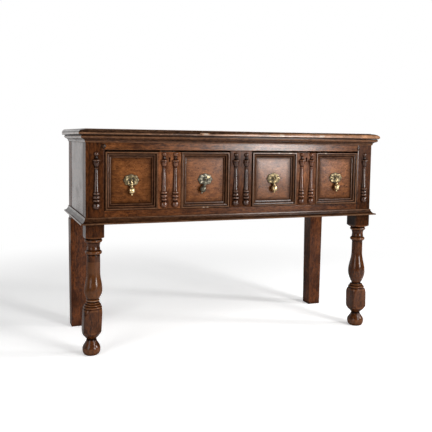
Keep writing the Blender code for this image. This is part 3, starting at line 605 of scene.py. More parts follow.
def domed(sides, radius, height, steps, facets=0.0):
    """A low round or faceted head on the z axis, with a short shank sunk below it."""
    rings = [[(radius * math.cos(t), radius * math.sin(t), -SHANK) for t in around(sides)]]
    for step in range(steps + 1):
        rise = math.pi / 2 * step / steps * 0.92
        reaches = [radius * math.cos(rise) * (1 - facets * (k % 2)) for k in range(sides)]
        rings.append([
            (reach * math.cos(t), reach * math.sin(t), height * math.sin(rise))
            for reach, t in zip(reaches, around(sides))
        ])
    return lofted(rings, [[0.6] * sides] + [[0.5 - 1.2 * s / steps] * sides for s in range(steps + 1)])


def setting_out():
    """The tree that sets a pattern on marked points, each a little different in size and turn."""
    tree = bpy.data.node_groups.new("setting_out", "GeometryNodeTree")
    face = tree.interface
    face.new_socket("Geometry", in_out="INPUT", socket_type="NodeSocketGeometry")
    for name, kind in (
        ("Pattern", "NodeSocketObject"), ("Surface", "NodeSocketMaterial"), ("Spread", "NodeSocketFloat"),
        ("Turn", "NodeSocketFloat"), ("Seed", "NodeSocketInt"),
    ):
        face.new_socket(name, in_out="INPUT", socket_type=kind)
    face.new_socket("Geometry", in_out="OUTPUT", socket_type="NodeSocketGeometry")

    def given(name):
        return Tone.node(tree, "NodeGroupInput", {}, {}, name)

    def chance(low, high, extra):
        return Tone.node(
            tree, "FunctionNodeRandomValue", {"data_type": "FLOAT"},
            {2: low, 3: high, "Seed": given("Seed") + extra}, 1,
        )

    pattern = Tone.node(tree, "GeometryNodeObjectInfo", {}, {"Object": given("Pattern")}, "Geometry")
    heading = Tone.node(
        tree, "GeometryNodeInputNamedAttribute", {"data_type": "FLOAT_VECTOR"}, {"Name": "heading"}
    )
    facing = Tone.node(tree, "FunctionNodeAlignRotationToVector", {"axis": "Z"}, {"Vector": heading})
    spin = Tone.node(
        tree, "FunctionNodeAxisAngleToRotation", {},
        {"Axis": (0, 0, 1), "Angle": chance(0.0, 1.0, 1.0) * given("Turn")},
    )
    turned = Tone.node(
        tree, "FunctionNodeRotateRotation", {"rotation_space": "LOCAL"}, {0: facing, 1: spin}
    )
    size = 1.0 + chance(-1.0, 1.0, 2.0) * given("Spread")
    copies = Tone.node(
        tree, "GeometryNodeInstanceOnPoints", {},
        {"Points": given("Geometry"), "Instance": pattern, "Rotation": turned, "Scale": size},
    )
    toned = Tone.node(
        tree, "GeometryNodeStoreNamedAttribute", {"data_type": "FLOAT", "domain": "INSTANCE"},
        {"Geometry": copies, "Name": "cut", "Value": chance(0.0, 1.0, 3.0)},
    )
    real = Tone.node(tree, "GeometryNodeRealizeInstances", {}, {"Geometry": toned})
    dressed = Tone.node(
        tree, "GeometryNodeSetMaterial", {}, {"Geometry": real, "Material": given("Surface")}
    )
    Tone.node(tree, "NodeGroupOutput", {}, {"Geometry": dressed})
    return tree


setting_tree = setting_out()


def set_out(name, spots, pattern, surface, spread=0.0, turn=0.0, seed=1):
    """One mesh of a pattern set on (place, heading) spots, its z axis along each heading."""
    mesh = bpy.data.meshes.new(name)
    mesh.from_pydata([place for place, _ in spots], [], [])
    headings = mesh.attributes.new("heading", "FLOAT_VECTOR", "POINT")
    headings.data.foreach_set("vector", [value for _, heading in spots for value in heading])
    obj = placed(name, mesh)
    modifier = obj.modifiers.new("setting_out", "NODES")
    modifier.node_group = setting_tree
    given = {"Pattern": pattern, "Surface": surface, "Spread": spread, "Turn": turn, "Seed": seed}
    for item in setting_tree.interface.items_tree:
        if item.in_out == "INPUT" and item.name in given:
            modifier[item.identifier] = given[item.name]
    bpy.data.meshes.remove(applied(obj))
    return obj


def pattern_of(name, shape, bend=ROUND_BEND):
    """A pattern to set out. It isn't part of the dresser itself."""
    obj = made(name, shape, post_oak, bend)
    bpy.context.scene.collection.objects.unlink(obj)
    return obj


PEG_HEIGHT = 0.7315
PEG_INSET = 0.0030
PEG_SUNK = 0.0002
low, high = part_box("front_top_rail")
front_y = low.y
peg_oak = waxed_oak("peg_oak", "y", (0.007, 0.0028, 0.0014), (0.030, 0.011, 0.0046), polish=0.35)
peg_spots = [
    ((sign * (high.x + PEG_INSET), front_y - PEG_SUNK, PEG_HEIGHT), (0, -1, 0)) for sign in (-1, 1)
]
pegs = set_out(
    "frame_pegs", peg_spots, pattern_of("peg_pattern", domed(14, 0.0080, 0.0022, 4)), peg_oak,
    spread=0.10, turn=6.0, seed=11,
)
hung(pegs, "carcase", "dark_oak")


def rusted_iron(name):
    """Forged iron, brown with old rust and black where it is rubbed."""
    material, tree, shader, grain = shaded(name)
    rust = grain(0.006, detail=4.0).between(0.38, 0.66)
    pits = grain(0.0012).between(0.45, 0.70)
    colour = rust.mixing((0.055, 0.050, 0.047), (0.085, 0.038, 0.018))
    finished(
        tree, shader, Base_Color=(pits * 0.5).mixing(colour, (0.012, 0.010, 0.009)),
        Roughness=0.42 + rust * 0.30 + pits * 0.10, Metallic=0.95 - rust * 0.6,
        Normal=bumped(tree, 0.5, 0.0004, rust * 0.4 - pits * 0.6),
    )
    return material


NAIL_FROM_JOINT = 0.035
NAIL_FROM_EDGE = 0.030
NAIL_FROM_END = 0.018
NAIL_FROM_RAIL = 0.016
old_iron = rusted_iron("old_iron")
low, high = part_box("back_board")
nail_spots = []
for z in (low.z + NAIL_FROM_EDGE, back_joint - NAIL_FROM_JOINT, back_joint + NAIL_FROM_JOINT,
          high.z - NAIL_FROM_EDGE):
    for x in (low.x + NAIL_FROM_END, high.x - NAIL_FROM_END):
        nail_spots.append(((x, high.y, z), (0, 1, 0)))
for share in (0.2, 0.4, 0.6, 0.8):
    for z in (low.z + NAIL_FROM_RAIL, high.z - NAIL_FROM_RAIL):
        nail_spots.append(((low.x + share * (high.x - low.x), high.y, z), (0, 1, 0)))
nail_pattern = pattern_of("nail_pattern", domed(8, 0.0042, 0.0012, 2, 0.12), 15)
nails = set_out("back_nails", nail_spots, nail_pattern, old_iron, spread=0.12, turn=6.0, seed=23)
hung(nails, "carcase", "black_iron")


# Cornice and base mouldings: oak strips worked with a moulding plane, mitred at the front corners and
# nailed round the case. The cornice has a cove, an ovolo and a fillet, and the base a lip and a hollow.
SWAY = 0.00025
# The mark of a chip, which on the nose of the top is a painted glint as well.
CHIP_AND_GLINT_MARK = -2.0
CHIPPED_ARRIS = (0.003, 0.0105)


def moulding_run(
    shape, section, marks, start, along, outwards, length, mitres, stations=26, up=(0, 0, 1), chips=()
):
    """Adds one length of moulding, chipped at some stations.

    Its section is (out, up), and each end may be mitred by 1, -1 or 0.
    """
    start, along, outwards, up = Vector(start), Vector(along), Vector(outwards), Vector(up)
    rings = []
    for k in range(stations + 1):
        ring = []
        for out, high in section:
            near = -out * mitres[0]
            far = length + out * mitres[1]
            spot = start + along * (near + (far - near) * (k / stations)) + outwards * out + up * high
            sway = 0.0 if out < 0.001 else SWAY * noise.noise(spot * 24.0)
            ring.append(spot + outwards * sway)
        rings.append(ring)
    chips_and_glints = [
        CHIP_AND_GLINT_MARK if out < CHIPPED_ARRIS[0] and high > CHIPPED_ARRIS[1] else mark
        for (out, high), mark in zip(section, marks)
    ]
    lofted(rings, [chips_and_glints if k in chips else marks for k in range(stations + 1)], shape)


COVE = [math.pi / 2 * k / 6 for k in range(1, 7)]
cornice_line = [(0.0, 0.0), (0.0025, 0.0), (0.0025, 0.0010)]
cornice_line += [(0.0025 + 0.0060 * (1 - math.cos(t)), 0.0010 + 0.0095 * math.sin(t)) for t in COVE]
cornice_line += [(0.0085, 0.0118), (0.0098, 0.0118)]
cornice_line += [(0.0098 + 0.0077 * math.sin(t), 0.0118 + 0.0072 * (1 - math.cos(t))) for t in COVE]
cornice_line += [(0.0175, 0.0200), (0.0160, 0.0208), (0.0160, 0.0247), (0.0, 0.0247)]
CORNICE_FILLET = 0.0205
FILLET_SHADE_AND_DIRT = 0.34
base_line = [(0.0, 0.0), (0.0185, 0.0), (0.0185, 0.0050), (0.0165, 0.0050)]
base_line += [(0.0165 - 0.0140 * math.sin(t), 0.0050 + 0.0172 * (1 - math.cos(t))) for t in COVE]
base_line += [(0.0, 0.0222)]
HOLLOW_OUT, LIP_OUT, LIP_TOP = 0.004, 0.0164, 0.0052
COVE_SHADE_AND_DIRT = 0.24
CASE_GAP = 0.0003
for kind, line, tone in (("cornice", cornice_line, 1.0), ("base", base_line, 0.62)):
    section = eased(close_set(line, 0.0006), 1)
    marks = hollows(section, 0.0032, 0.0008)
    for k, (out, up) in enumerate(section):
        # The cornice's fillet under the nose of the top: painted shade with dirt.
        if kind == "cornice" and up > CORNICE_FILLET:
            marks[k] = FILLET_SHADE_AND_DIRT
        # The base's hollow above its lip: painted shade with dirt.
        elif kind == "base" and HOLLOW_OUT < out < LIP_OUT and up > LIP_TOP:
            marks[k] = max(COVE_SHADE_AND_DIRT, marks[k])
    run_oak, end_oak = (
        waxed_oak(
            f"{kind}_{run}_oak", run, [tone * part for part in (0.019, 0.0070, 0.0034)],
            [tone * part for part in (0.110, 0.044, 0.0180)], polish=0.45 * tone if run == "x" else 0.85,
            wear=0.9, dirt=0.45,
        )
        for run in "xy"
    )
    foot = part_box(f"{kind}_moulding_front")[0].z
    inner_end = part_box(f"{kind}_moulding_left")[1]
    back = inner_end.x
    face = front_y - CASE_GAP
    shape = bmesh.new()
    moulding_run(shape, section, marks, (back, face, foot), (1, 0, 0), (0, -1, 0), -2 * back, (1, 1))
    hung(made(f"{kind}_front", shape, run_oak), "carcase", "moulding_oak", f"{kind}_moulding_front")
    for hand, sign in zip(HANDS, (-1, 1)):
        shape = bmesh.new()
        corner = (-sign * back, face, foot)
        moulding_run(
            shape, section, marks, corner, (0, 1, 0), (sign, 0, 0), inner_end.y - face, (1, 0)
        )
        strip = made(f"{kind}_{hand}", shape, end_oak)
        hung(strip, "carcase", "moulding_oak", f"{kind}_moulding_{hand}")


# Top: two oak boards laid side by side, with a thumbnail moulding run along the front and both ends.
# The nose is knocked and rubbed pale in places from long use, and painted sheen and glints lighten it
# further, most of all towards the right.
# bare=3.4 makes the pale brown bright enough for the painted sheen and glints on the nose, as well as for
# wear.
top_oak = waxed_oak(
    "top_oak", "x", (0.021, 0.0090, 0.0042), (0.105, 0.049, 0.0240), polish=1.0, wax=0.55, wear=1.0,
    dirt=0.5, bare=3.4,
)
nose_line = [(0.003, 0.0)]
nose_line += [(0.003 * math.cos(t), 0.0030 * math.sin(t)) for t in COVE] + [(0.0, 0.0060)]
nose_line += [(0.026 * (1 - math.cos(t)), 0.0060 + 0.0135 * math.sin(t)) for t in COVE]
nose_line += [(0.026, 0.021)]
nose_section = eased(close_set(nose_line, 0.0010), 1)
nose_marks = hollows(nose_section, 0.0045, 0.0010)
NOSE_FOOT, NOSE_TOP = 0.0020, 0.0198
NOSE_UNDERSIDE_SHADE_AND_DIRT = 0.5
NOSE_DEPTH = 0.020
NOSE_REACH = 0.03
CHIP_LOW, CHIP_HIGH = 0.0040, 0.0115
NOSE_CHIPS_AND_GLINTS = ((-0.148, 0.015), (0.155, 0.009), (0.328, 0.012))


def nose_wear_and_sheen(inset, height, mark, x):
    """Wear and painted light on the nose: chips with painted glints, a rubbed tip all along it, and a wide
    pale stretch towards the right that is painted reflection as well as wear.
    """
    # The underside of the nose: painted shade with dirt.
    if height < NOSE_FOOT:
        return NOSE_UNDERSIDE_SHADE_AND_DIRT
    if height > NOSE_TOP:
        return 0.0
    # Chips on the nose, each with a painted glint.
    if CHIP_LOW < height < CHIP_HIGH and any(abs(x - chip) < reach for chip, reach in NOSE_CHIPS_AND_GLINTS):
        return CHIP_AND_GLINT_MARK
    # Towards the right the rubbed tip widens into a pale stretch: painted reflection as well as wear.
    rightwards = max(0.0, min(1.0, (x + 0.15) / 0.35))
    patchy = 0.75 + 0.35 * noise.noise(Vector((x * 17.0, height * 120.0, 0.0)))
    if inset < NOSE_DEPTH and height < 0.0080 + 0.0070 * rightwards:
        return -(0.44 + 0.52 * rightwards) * patchy
    return mark


BLUNT_REAR = 0.70
TOP_COUNTS = (110, 24, 60, 24)
KNOCK = 0.0007
top_front, top_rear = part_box("top_board_front")[0].y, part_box("top_board_rear")[1].y
for part in ("front", "rear"):
    low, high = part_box(f"top_board_{part}")
    rings = []
    for inset, height in nose_section:
        y0 = low.y + inset if part == "front" else low.y
        y1 = high.y
        x0, x1 = (
            low.x + inset * (1 - BLUNT_REAR * (y - top_front) / (top_rear - top_front)) for y in (y0, y1)
        )
        end = high.x - inset
        corners = ((x0, y0), (end, y0), (end, y1), (x1, y1))
        ring = []
        for (xa, ya), (xb, yb), count in zip(corners, (*corners[1:], corners[0]), TOP_COUNTS):
            for share in (k / count for k in range(count)):
                x, y, z = xa + (xb - xa) * share, ya + (yb - ya) * share, low.z + height
                knock = KNOCK * max(0.0, noise.noise(Vector((x, y, z)) * 31.0)) if inset < NOSE_DEPTH else 0.0
                on_nose = part == "front" and y < low.y + NOSE_REACH
                ring.append((x * (1 - knock), y + (knock if on_nose else 0.0), z))
        rings.append(ring)
    marks = [
        [nose_wear_and_sheen(inset, height, mark, x) for x, _, _ in ring]
        for (inset, height), mark, ring in zip(nose_section, nose_marks, rings)
    ]
    hung(made(f"top_{part}", lofted(rings, marks), top_oak), "carcase", "dark_oak", f"top_board_{part}")


# Split balusters: turned in one piece, sawn down the middle and glued flat to the posts, the muntin and
# the drawers' strips. From the foot: a ball, three collars, a slim shaft, an urn with its lid and a bead.
BALUSTER_CUTS = (
    ("start", 0.0040, 0.0000), ("bead", 0.0066, 0.0225, 0.0134), ("straight", 0.0066, 0.0255),
    ("straight", 0.0094, 0.0258), ("bead", 0.0094, 0.0345, 0.0128), ("straight", 0.0088, 0.0360),
    ("bead", 0.0088, 0.0475, 0.0132), ("straight", 0.0086, 0.0490), ("bead", 0.0086, 0.0590, 0.0120),
    ("straight", 0.0096, 0.0595), ("straight", 0.0064, 0.1400), ("bead", 0.0052, 0.1440, 0.0078),
    ("swell", 0.0118, 0.1630), ("straight", 0.0104, 0.1640), ("bead", 0.0100, 0.1710, 0.0136),
    ("round out", 0.0046, 0.1810), ("straight", 0.0046, 0.1838), ("bead", 0.0020, 0.1980, 0.0090),
)
SHAFT_FOOT, SHAFT_TOP = 0.060, 0.140
SHAFT_DIRT, BEAD_DIRT = 0.17, 0.10
HALF_TURNS = 20
LEFT_STILE_ASIDE = 0.0045
case_baluster_oak = waxed_oak(
    "case_baluster_oak", "z", (0.015, 0.0054, 0.0029), (0.072, 0.027, 0.0132), mirror=0.08, polish=1.0,
    wear=0.45, dirt=0.45,
)
drawer_baluster_oak = waxed_oak(
    "drawer_baluster_oak", "z", (0.036, 0.0125, 0.0062), (0.135, 0.047, 0.0195), mirror=0.09, polish=1.0,
    wear=0.4, dirt=0.45,
)
line = eased(close_set(turner_cuts(BALUSTER_CUTS, 8), 0.0010), 1)
half_round = [math.pi * k / HALF_TURNS for k in range(HALF_TURNS + 1)]
rings = [
    [(-radius * math.cos(t), -radius * math.sin(t), height) for t in half_round] for radius, height in line
]
marks = [
    [max(mark, SHAFT_DIRT) if SHAFT_FOOT < height < SHAFT_TOP else mark + BEAD_DIRT] * len(half_round)
    for mark, (_, height) in zip(hollows(line, 0.0050, 0.0012), line)
]
baluster_pattern = pattern_of("baluster_pattern", lofted(rings, marks))


def balusters(name, body, surface, seed, *nodes):
    """The balusters of one body, in one mesh."""
    spots = []
    for node in nodes:
        low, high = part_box(node)
        aside = LEFT_STILE_ASIDE if node == "stile_baluster_left" else 0.0
        spots.append((((low.x + high.x) / 2 + aside, high.y, low.z), (0, 0, 1)))
    obj = set_out(name, spots, baluster_pattern, surface, spread=0.006, seed=seed)
    hung(obj, body, "dark_oak", *nodes)


balusters(
    "case_balusters", "carcase", case_baluster_oak, 5, "stile_baluster_left", "stile_baluster_right",
    "muntin_baluster_left", "muntin_baluster_right",
)


# Drawer boxes: oak sides grooved for the runners, a back and a bottom, nailed together and left bare.
SIDE_NAIL_HEIGHTS = (0.030, 0.135, 0.170)
SIDE_NAIL_SUNK = 0.0008
NAIL_FROM_FRONT, NAIL_FROM_BACK = 0.010, 0.008


def clad(node, surface):
    """Gives its material to a solid that is shown as it is."""
    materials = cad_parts[node].data.materials
    materials.clear()
    materials.append(surface)


for hand in HANDS:
    for part in ("left_side", "right_side", "back", "bottom"):
        clad(f"{hand}_drawer_{part}", back_oak if part == "back" else lining_oak)
    nail_spots = []
    for side, sign in zip(HANDS, (-1, 1)):
        low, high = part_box(f"{hand}_drawer_{side}_side")
        x = (low.x if sign < 0 else high.x) - sign * SIDE_NAIL_SUNK
        for y in (low.y + NAIL_FROM_FRONT, high.y - NAIL_FROM_BACK):
            nail_spots += [((x, y, low.z + up), (sign, 0, 0)) for up in SIDE_NAIL_HEIGHTS]
    nails = set_out(
        f"{hand}_drawer_nails", nail_spots, nail_pattern, old_iron, spread=0.12, turn=6.0, seed=31
    )
    hung(nails, f"{hand}_drawer", "black_iron")


# Drawer fronts: one oak board with a flat field at each end, lighter than the frame, and a strip planted
# up the middle for the balusters. The keyhole is cut through the strip, and the pins go through the fields.
field_oak = waxed_oak(
    "field_oak", "x", (0.060, 0.0188, 0.0052), (0.236, 0.080, 0.0202), polish=0.56, mottle=0.8, wax=0.45,
    wear=0.5,
)
strip_oak = waxed_oak(
    "strip_oak", "z", (0.056, 0.0205, 0.0102), (0.315, 0.116, 0.0450), polish=0.10, mottle=0.4, wax=0.8
)
FRONT_ARRIS = 0.0008
FIELD_DEPTH = 0.010
STRIP_HALF = 0.0435
STRIP_AGE = {"left": 0.0, "right": 0.26}
FRAME_WIDTH = 0.0205
WORN_TOP = 0.0036
WORN_END = 0.0020
KEY_EYE = 0.0035
KEY_SLOT = 0.0025
KEY_TOP, KEY_FOOT = 0.022, 0.038
PIN_HOLE = 0.003
SHADE_AND_WAX_REACHES = (0.0, 0.004, 0.009, 0.016, 0.024, 0.032)
# How much darker a field is at its head and at its foot, and how strong the painted shade with old wax is
# along the inside of its frame.
FIELD_AGES = {
    ("left", "left"): (0.24, 0.24, 0.45),
    ("left", "right"): (0.0, 0.0, 0.32),
    ("right", "left"): (0.0, 0.26, 0.45),
    ("right", "right"): (0.0, 0.26, 0.45),
}


def field_shade_and_wax(shape, hand):
    """Marks how dark a drawer's two fields are at head and foot, and painted shade with old wax along the
    inside of each frame.
    """
    layer = hollow_layer(shape)
    fields = []
    for side in HANDS:
        low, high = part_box(f"{hand}_drawer_{side}_moulding")
        x0, x1 = low.x + FRAME_WIDTH, high.x - FRAME_WIDTH
        z0, z1 = low.z + FRAME_WIDTH, high.z - FRAME_WIDTH
        fields.append((x0, x1, z0, z1, *FIELD_AGES[hand, side]))
        for ends, normal in (((x0, x1), Vector((1, 0, 0))), ((z0, z1), Vector((0, 0, 1)))):
            for end, inwards in zip(ends, (1, -1)):
                for reach in SHADE_AND_WAX_REACHES:
                    sliced(shape, normal * (end + inwards * reach), normal)
    for vertex in shape.verts:
        x, _, z = vertex.co
        for x0, x1, z0, z1, head_dark, foot_dark, wax in fields:
            deep = min(x - x0, x1 - x, z - z0, z1 - z)
            if deep > -1e-5:
                aged = head_dark + (foot_dark - head_dark) * (z1 - z) / (z1 - z0)
                # Along the inside of the frame: painted shade with old wax, fading over the last reach.
                vertex[layer] = max(wax * max(0.0, 1 - deep / SHADE_AND_WAX_REACHES[-1]) ** 1.15, aged)


for hand in HANDS:
    low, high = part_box(f"{hand}_drawer_front")
    middle = (low.x + high.x) / 2
    eye_z = high.z - KEY_TOP - KEY_EYE
    keyhole = [(middle + KEY_EYE * math.cos(t), eye_z + KEY_EYE * math.sin(t))
               for t in (math.radians(-44 + 268 * k / 14) for k in range(15))]
    keyhole += [(middle + x, high.z - KEY_FOOT) for x in (-KEY_SLOT, KEY_SLOT)]
    outlines = [keyhole]
    for side in HANDS:
        centre = sum(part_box(f"{hand}_drawer_{side}_handle_plate"), Vector()) / 2
        outlines.append([
            (centre.x + PIN_HOLE * math.cos(t), centre.z + PIN_HOLE * math.sin(t)) for t in around(12)
        ])
    strip_face = low.y + FIELD_DEPTH
    worn_top = high.z - WORN_TOP
    for name, left, right, near, far, surface in (
        ("field", low.x + WORN_END, high.x - WORN_END, strip_face, high.y, field_oak),
        ("strip", middle - STRIP_HALF, middle + STRIP_HALF, low.y, strip_face, strip_oak),
    ):
        shape = bmesh.new()
        planed(shape, (left, near, low.z), (right, far, worn_top), FRONT_ARRIS, aged=STRIP_AGE[hand])
        if name == "field":
            field_shade_and_wax(shape, hand)
        front = made(f"{hand}_drawer_{name}", shape, surface)
        bores = bmesh.new()
        for outline in outlines:
            ends = [[(x, y, z) for x, z in outline] for y in (low.y - 0.02, high.y + 0.02)]
            lofted(ends, [[0.0] * len(outline)] * 2, bores)
        hung(cut_from(front, bores), f"{hand}_drawer", "panel_oak", f"{hand}_drawer_front")


# Panel mouldings: four mitred lengths round each field, glued and pinned to the front board.
# A flat outer fillet, rubbed pale along its arris, a small step and an ogee down to the field.
panel_line = [(0.0, 0.0), (0.0, 0.0130), (0.0048, 0.0130), (0.0052, 0.0092)]
panel_line += [(0.0052 + 0.0070 * math.sin(t), 0.0092 - 0.0022 * (1 - math.cos(t))) for t in COVE]
panel_line += [(0.0122 + 0.0065 * (1 - math.cos(t)), 0.0070 - 0.0034 * math.sin(t)) for t in COVE]
panel_line += [(0.0200, 0.0034), (0.0207, 0.0)]
QUIRK_SHADE_AND_DIRT = 0.40
STEP_START, STEP_END, FOOT_START = 0.0049, 0.0060, 0.0196
panel_section = eased(close_set(panel_line, 0.0005), 1)
# The step and the foot of the ogee where it meets the field: painted shade with dirt.
panel_marks = [
    max(-mark, QUIRK_SHADE_AND_DIRT) if STEP_START < inwards < STEP_END or inwards > FOOT_START else -mark
    for (inwards, _), mark in zip(panel_section, hollows(panel_section, 0.0030, 0.0007))
]
FRAME_CHIPS = {
    ("left_drawer_right_moulding", "bottom"): (11, 13),
    ("right_drawer_left_moulding", "top"): (14, 20, 21),
    ("right_drawer_right_moulding", "top"): (5,),
}
rail_frame_oak, stile_frame_oak = (
    waxed_oak(
        f"panel_frame_{run}_oak", run, (0.015, 0.0056, 0.0026), (0.078, 0.030, 0.0125), polish=0.32, wear=0.8
    )
    for run in "xz"
)
for hand, seed in zip(HANDS, (7, 9)):
    for side in HANDS:
        node = f"{hand}_drawer_{side}_moulding"
        low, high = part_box(node)
        high.z -= WORN_TOP
        if side == "left":
            low.x += WORN_END
        else:
            high.x -= WORN_END
        y = high.y
        for name, surface, length, runs in (
            ("rails", rail_frame_oak, high.x - low.x, (
                ("bottom", (low.x, y, low.z), (1, 0, 0), (0, 0, 1)),
                ("top", (low.x, y, high.z), (1, 0, 0), (0, 0, -1)),
            )),
            ("stiles", stile_frame_oak, high.z - low.z, (
                ("left", (low.x, y, low.z), (0, 0, 1), (1, 0, 0)),
                ("right", (high.x, y, low.z), (0, 0, 1), (-1, 0, 0)),
            )),
        ):
            shape = bmesh.new()
            for edge, start, along, inwards in runs:
                moulding_run(
                    shape, panel_section, panel_marks, start, along, inwards, length, (-1, -1),
                    stations=24, up=(0, -1, 0), chips=FRAME_CHIPS.get((node, edge), ()),
                )
            hung(made(f"{node}_{name}", shape, surface), f"{hand}_drawer", "moulding_oak", node)
    balusters(
        f"{hand}_drawer_balusters", f"{hand}_drawer", drawer_baluster_oak, seed,
        f"{hand}_drawer_left_baluster", f"{hand}_drawer_right_baluster",
    )


# Locks: an iron case let in behind each keyhole, and a bolt that slides up into the top rail.
# Both are forged and filed, screwed on from inside the drawer, and brown with rust.
for hand in HANDS:
    for part in ("lock_case", "lock_bolt"):
        clad(f"{hand}_{part}", old_iron)


# Drop handles: a cast brass plate of eight leaves with a boss, a split pin through it, and a ball drop
# with a small tip that swings on the pin. Rubbed bright on the high places, brown and dirty in the low ones.
HANDLED_BRASS = (0.90, 0.72, 0.40)


def old_brass(name, bright, dull, rough=0.17):
    """Cast brass, pale where hands rub it and tarnished in its hollows."""
    material, tree, shader, grain = shaded(name)
    hollow = marked(tree, "hollow")
    cloud = grain(0.006, detail=3.0).between(0.36, 0.66)
    pits = grain(0.0011).between(0.55, 0.72)
    dirt = hollow.between(0.05, 0.60)
    handled = (0.0 - hollow).between(0.55, 0.90)
    colour = cloud.mixing(bright, dull)
    colour = (pits * 0.45).mixing(colour, [0.4 * value for value in dull])
    colour = (dirt * 0.85).mixing(colour, [0.18 * value for value in dull])
    finished(
        tree, shader, Base_Color=handled.mixing(colour, HANDLED_BRASS),
        Roughness=rough + cloud * 0.15 + dirt * 0.30 + pits * 0.08,
        Metallic=0.92 - dirt * 0.5 - cloud * 0.15, Normal=bumped(tree, 0.3, 0.0003, cloud * 0.3 - pits * 0.5),
    )
    return material


brass = old_brass("brass", (0.80, 0.61, 0.33), (0.46, 0.34, 0.17))
plate_brass = old_brass("plate_brass", (0.250, 0.190, 0.098), (0.066, 0.049, 0.026), rough=0.30)
dull_brass = old_brass("dull_brass", (0.185, 0.165, 0.118), (0.066, 0.060, 0.046), rough=0.32)
PLATE_TURNS = 128
PLATE_RINGS = 16
PLATE_BEND = 50
LEAVES = 8
LEAF_NOTCH = 0.11
BACK_DIRT = 0.8
LEAF_FACE = 0.0024
LEAF_RELIEF = 0.0028
BOSS_RELIEF = 0.0030
BOSS_RADIUS = 0.0065
BRIGHT_SPOT, BRIGHT_REACH = (0.012, 0.008), 0.0072
PIVOT_OUT = 0.0120
BENT_PIN = math.radians(18)
EYE_RADIUS = 0.0021
EYE_TUBE = 0.0011
EYE_RUBBED = -0.2
DROP_CUTS = (
    ("start", 0.0002, -0.0531), ("straight", 0.0010, -0.0531), ("bead", 0.0022, -0.0475, 0.0030),
    ("bead", 0.0032, -0.0250, 0.0112), ("bead", 0.0020, -0.0195, 0.0048), ("straight", 0.0017, -0.0021),
)
drop_line = eased(close_set(turner_cuts(DROP_CUTS), 0.0008), 1)
drop_marks = hollows(drop_line, 0.0040, 0.0016)
drop_turns, eye_turns, tube_turns = around(28), around(24), around(10)


def leaf_plate(low, high, bent):
    """A plate of leaves round a boss, with a hole for the pin. A bent handle's has a bright spot."""
    centre = (low + high) / 2
    half_x, half_z = (high.x - low.x) / 2, (high.z - low.z) / 2
    turns = around(PLATE_TURNS)
    leaves = [abs(math.cos(turn * LEAVES / 2)) for turn in turns]
    waves = [1 - LEAF_NOTCH * (1 - leaf) for leaf in leaves]
    edges = [Vector((half_x * w * math.cos(t), half_z * w * math.sin(t))) for w, t in zip(waves, turns)]
    holes = [Vector((PIN_HOLE * math.cos(t), PIN_HOLE * math.sin(t))) for t in turns]
    rings = [[(centre.x + spot.x, high.y, centre.z + spot.y) for spot in ends] for ends in (edges, holes)]
    marks = [[BACK_DIRT] * PLATE_TURNS] * 2
    for share in (step / PLATE_RINGS for step in range(PLATE_RINGS + 1)):
        band = math.sqrt(max(0.0, 1 - ((share - 0.62) / 0.40) ** 2))
        ring = []
        ring_marks = []
        for turn, leaf, edge, hole in zip(turns, leaves, edges, holes):
            spot = hole.lerp(edge, share)
            boss = max(0.0, 1 - (spot.length / BOSS_RADIUS) ** 2)
            ragged = noise.noise(Vector((spot.x, spot.y, centre.x)) * 190.0)
            swirl = min(1.0, 0.80 + 0.15 * math.cos(turn * 3 + 1.1 + 4 * share) + 0.35 * ragged)
            relief = LEAF_RELIEF * band * (0.72 + 0.28 * leaf ** 0.7) * swirl + BOSS_RELIEF * boss ** 0.6
            ring.append((centre.x + spot.x, low.y + LEAF_FACE - relief, centre.z + spot.y))
            worn = 1.05 * band * (0.58 + 0.42 * leaf) * (1 + 0.9 * ragged) + 1.2 * boss ** 0.5
            mark = max(-0.5, min(BACK_DIRT, 0.75 - worn))
            if bent:
                mark = min(mark, -1.0 + 0.9 * (math.dist(spot, BRIGHT_SPOT) / BRIGHT_REACH) ** 2)
            ring_marks.append(mark)
        rings.append(ring)
        marks.append(ring_marks)
    return lofted(rings, marks, closed=True)


for hand in HANDS:
    for side in HANDS:
        node = f"{hand}_drawer_{side}_handle"
        bent = node == "left_drawer_right_handle"
        low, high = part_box(f"{node}_plate")
        shape = leaf_plate(low, high, bent)
        plate = made(f"{node}_leaf_plate", shape, dull_brass if bent else plate_brass, PLATE_BEND)
        hung(plate, f"{hand}_drawer", "old_brass", f"{node}_plate")
        clad(f"{node}_pin", brass)
        rings = [[(r * math.cos(t), r * math.sin(t), z) for t in drop_turns] for r, z in drop_line]
        shape = lofted(rings, [[mark] * len(drop_turns) for mark in drop_marks])
        rings = []
        for turn in eye_turns:
            out = Vector((0, math.cos(turn), math.sin(turn)))
            rings.append([
                out * (EYE_RADIUS + EYE_TUBE * math.cos(t)) + Vector((EYE_TUBE * math.sin(t), 0, 0))
                for t in tube_turns
            ])
        lofted(rings, [[EYE_RUBBED] * len(tube_turns)] * len(eye_turns), shape, closed=True)
        pivot = Vector(((low.x + high.x) / 2, high.y - PIVOT_OUT, (low.z + high.z) / 2))
        swing = Matrix.Translation(pivot) @ Matrix.Rotation(BENT_PIN if bent else 0.0, 4, "Y")
        bmesh.ops.transform(shape, matrix=swing, verts=shape.verts)
        drop = made(f"{node}_pear_drop", shape, dull_brass if bent else brass)
        hung(drop, f"{hand}_drawer_{side}_drop", "old_brass", f"{node}_drop")


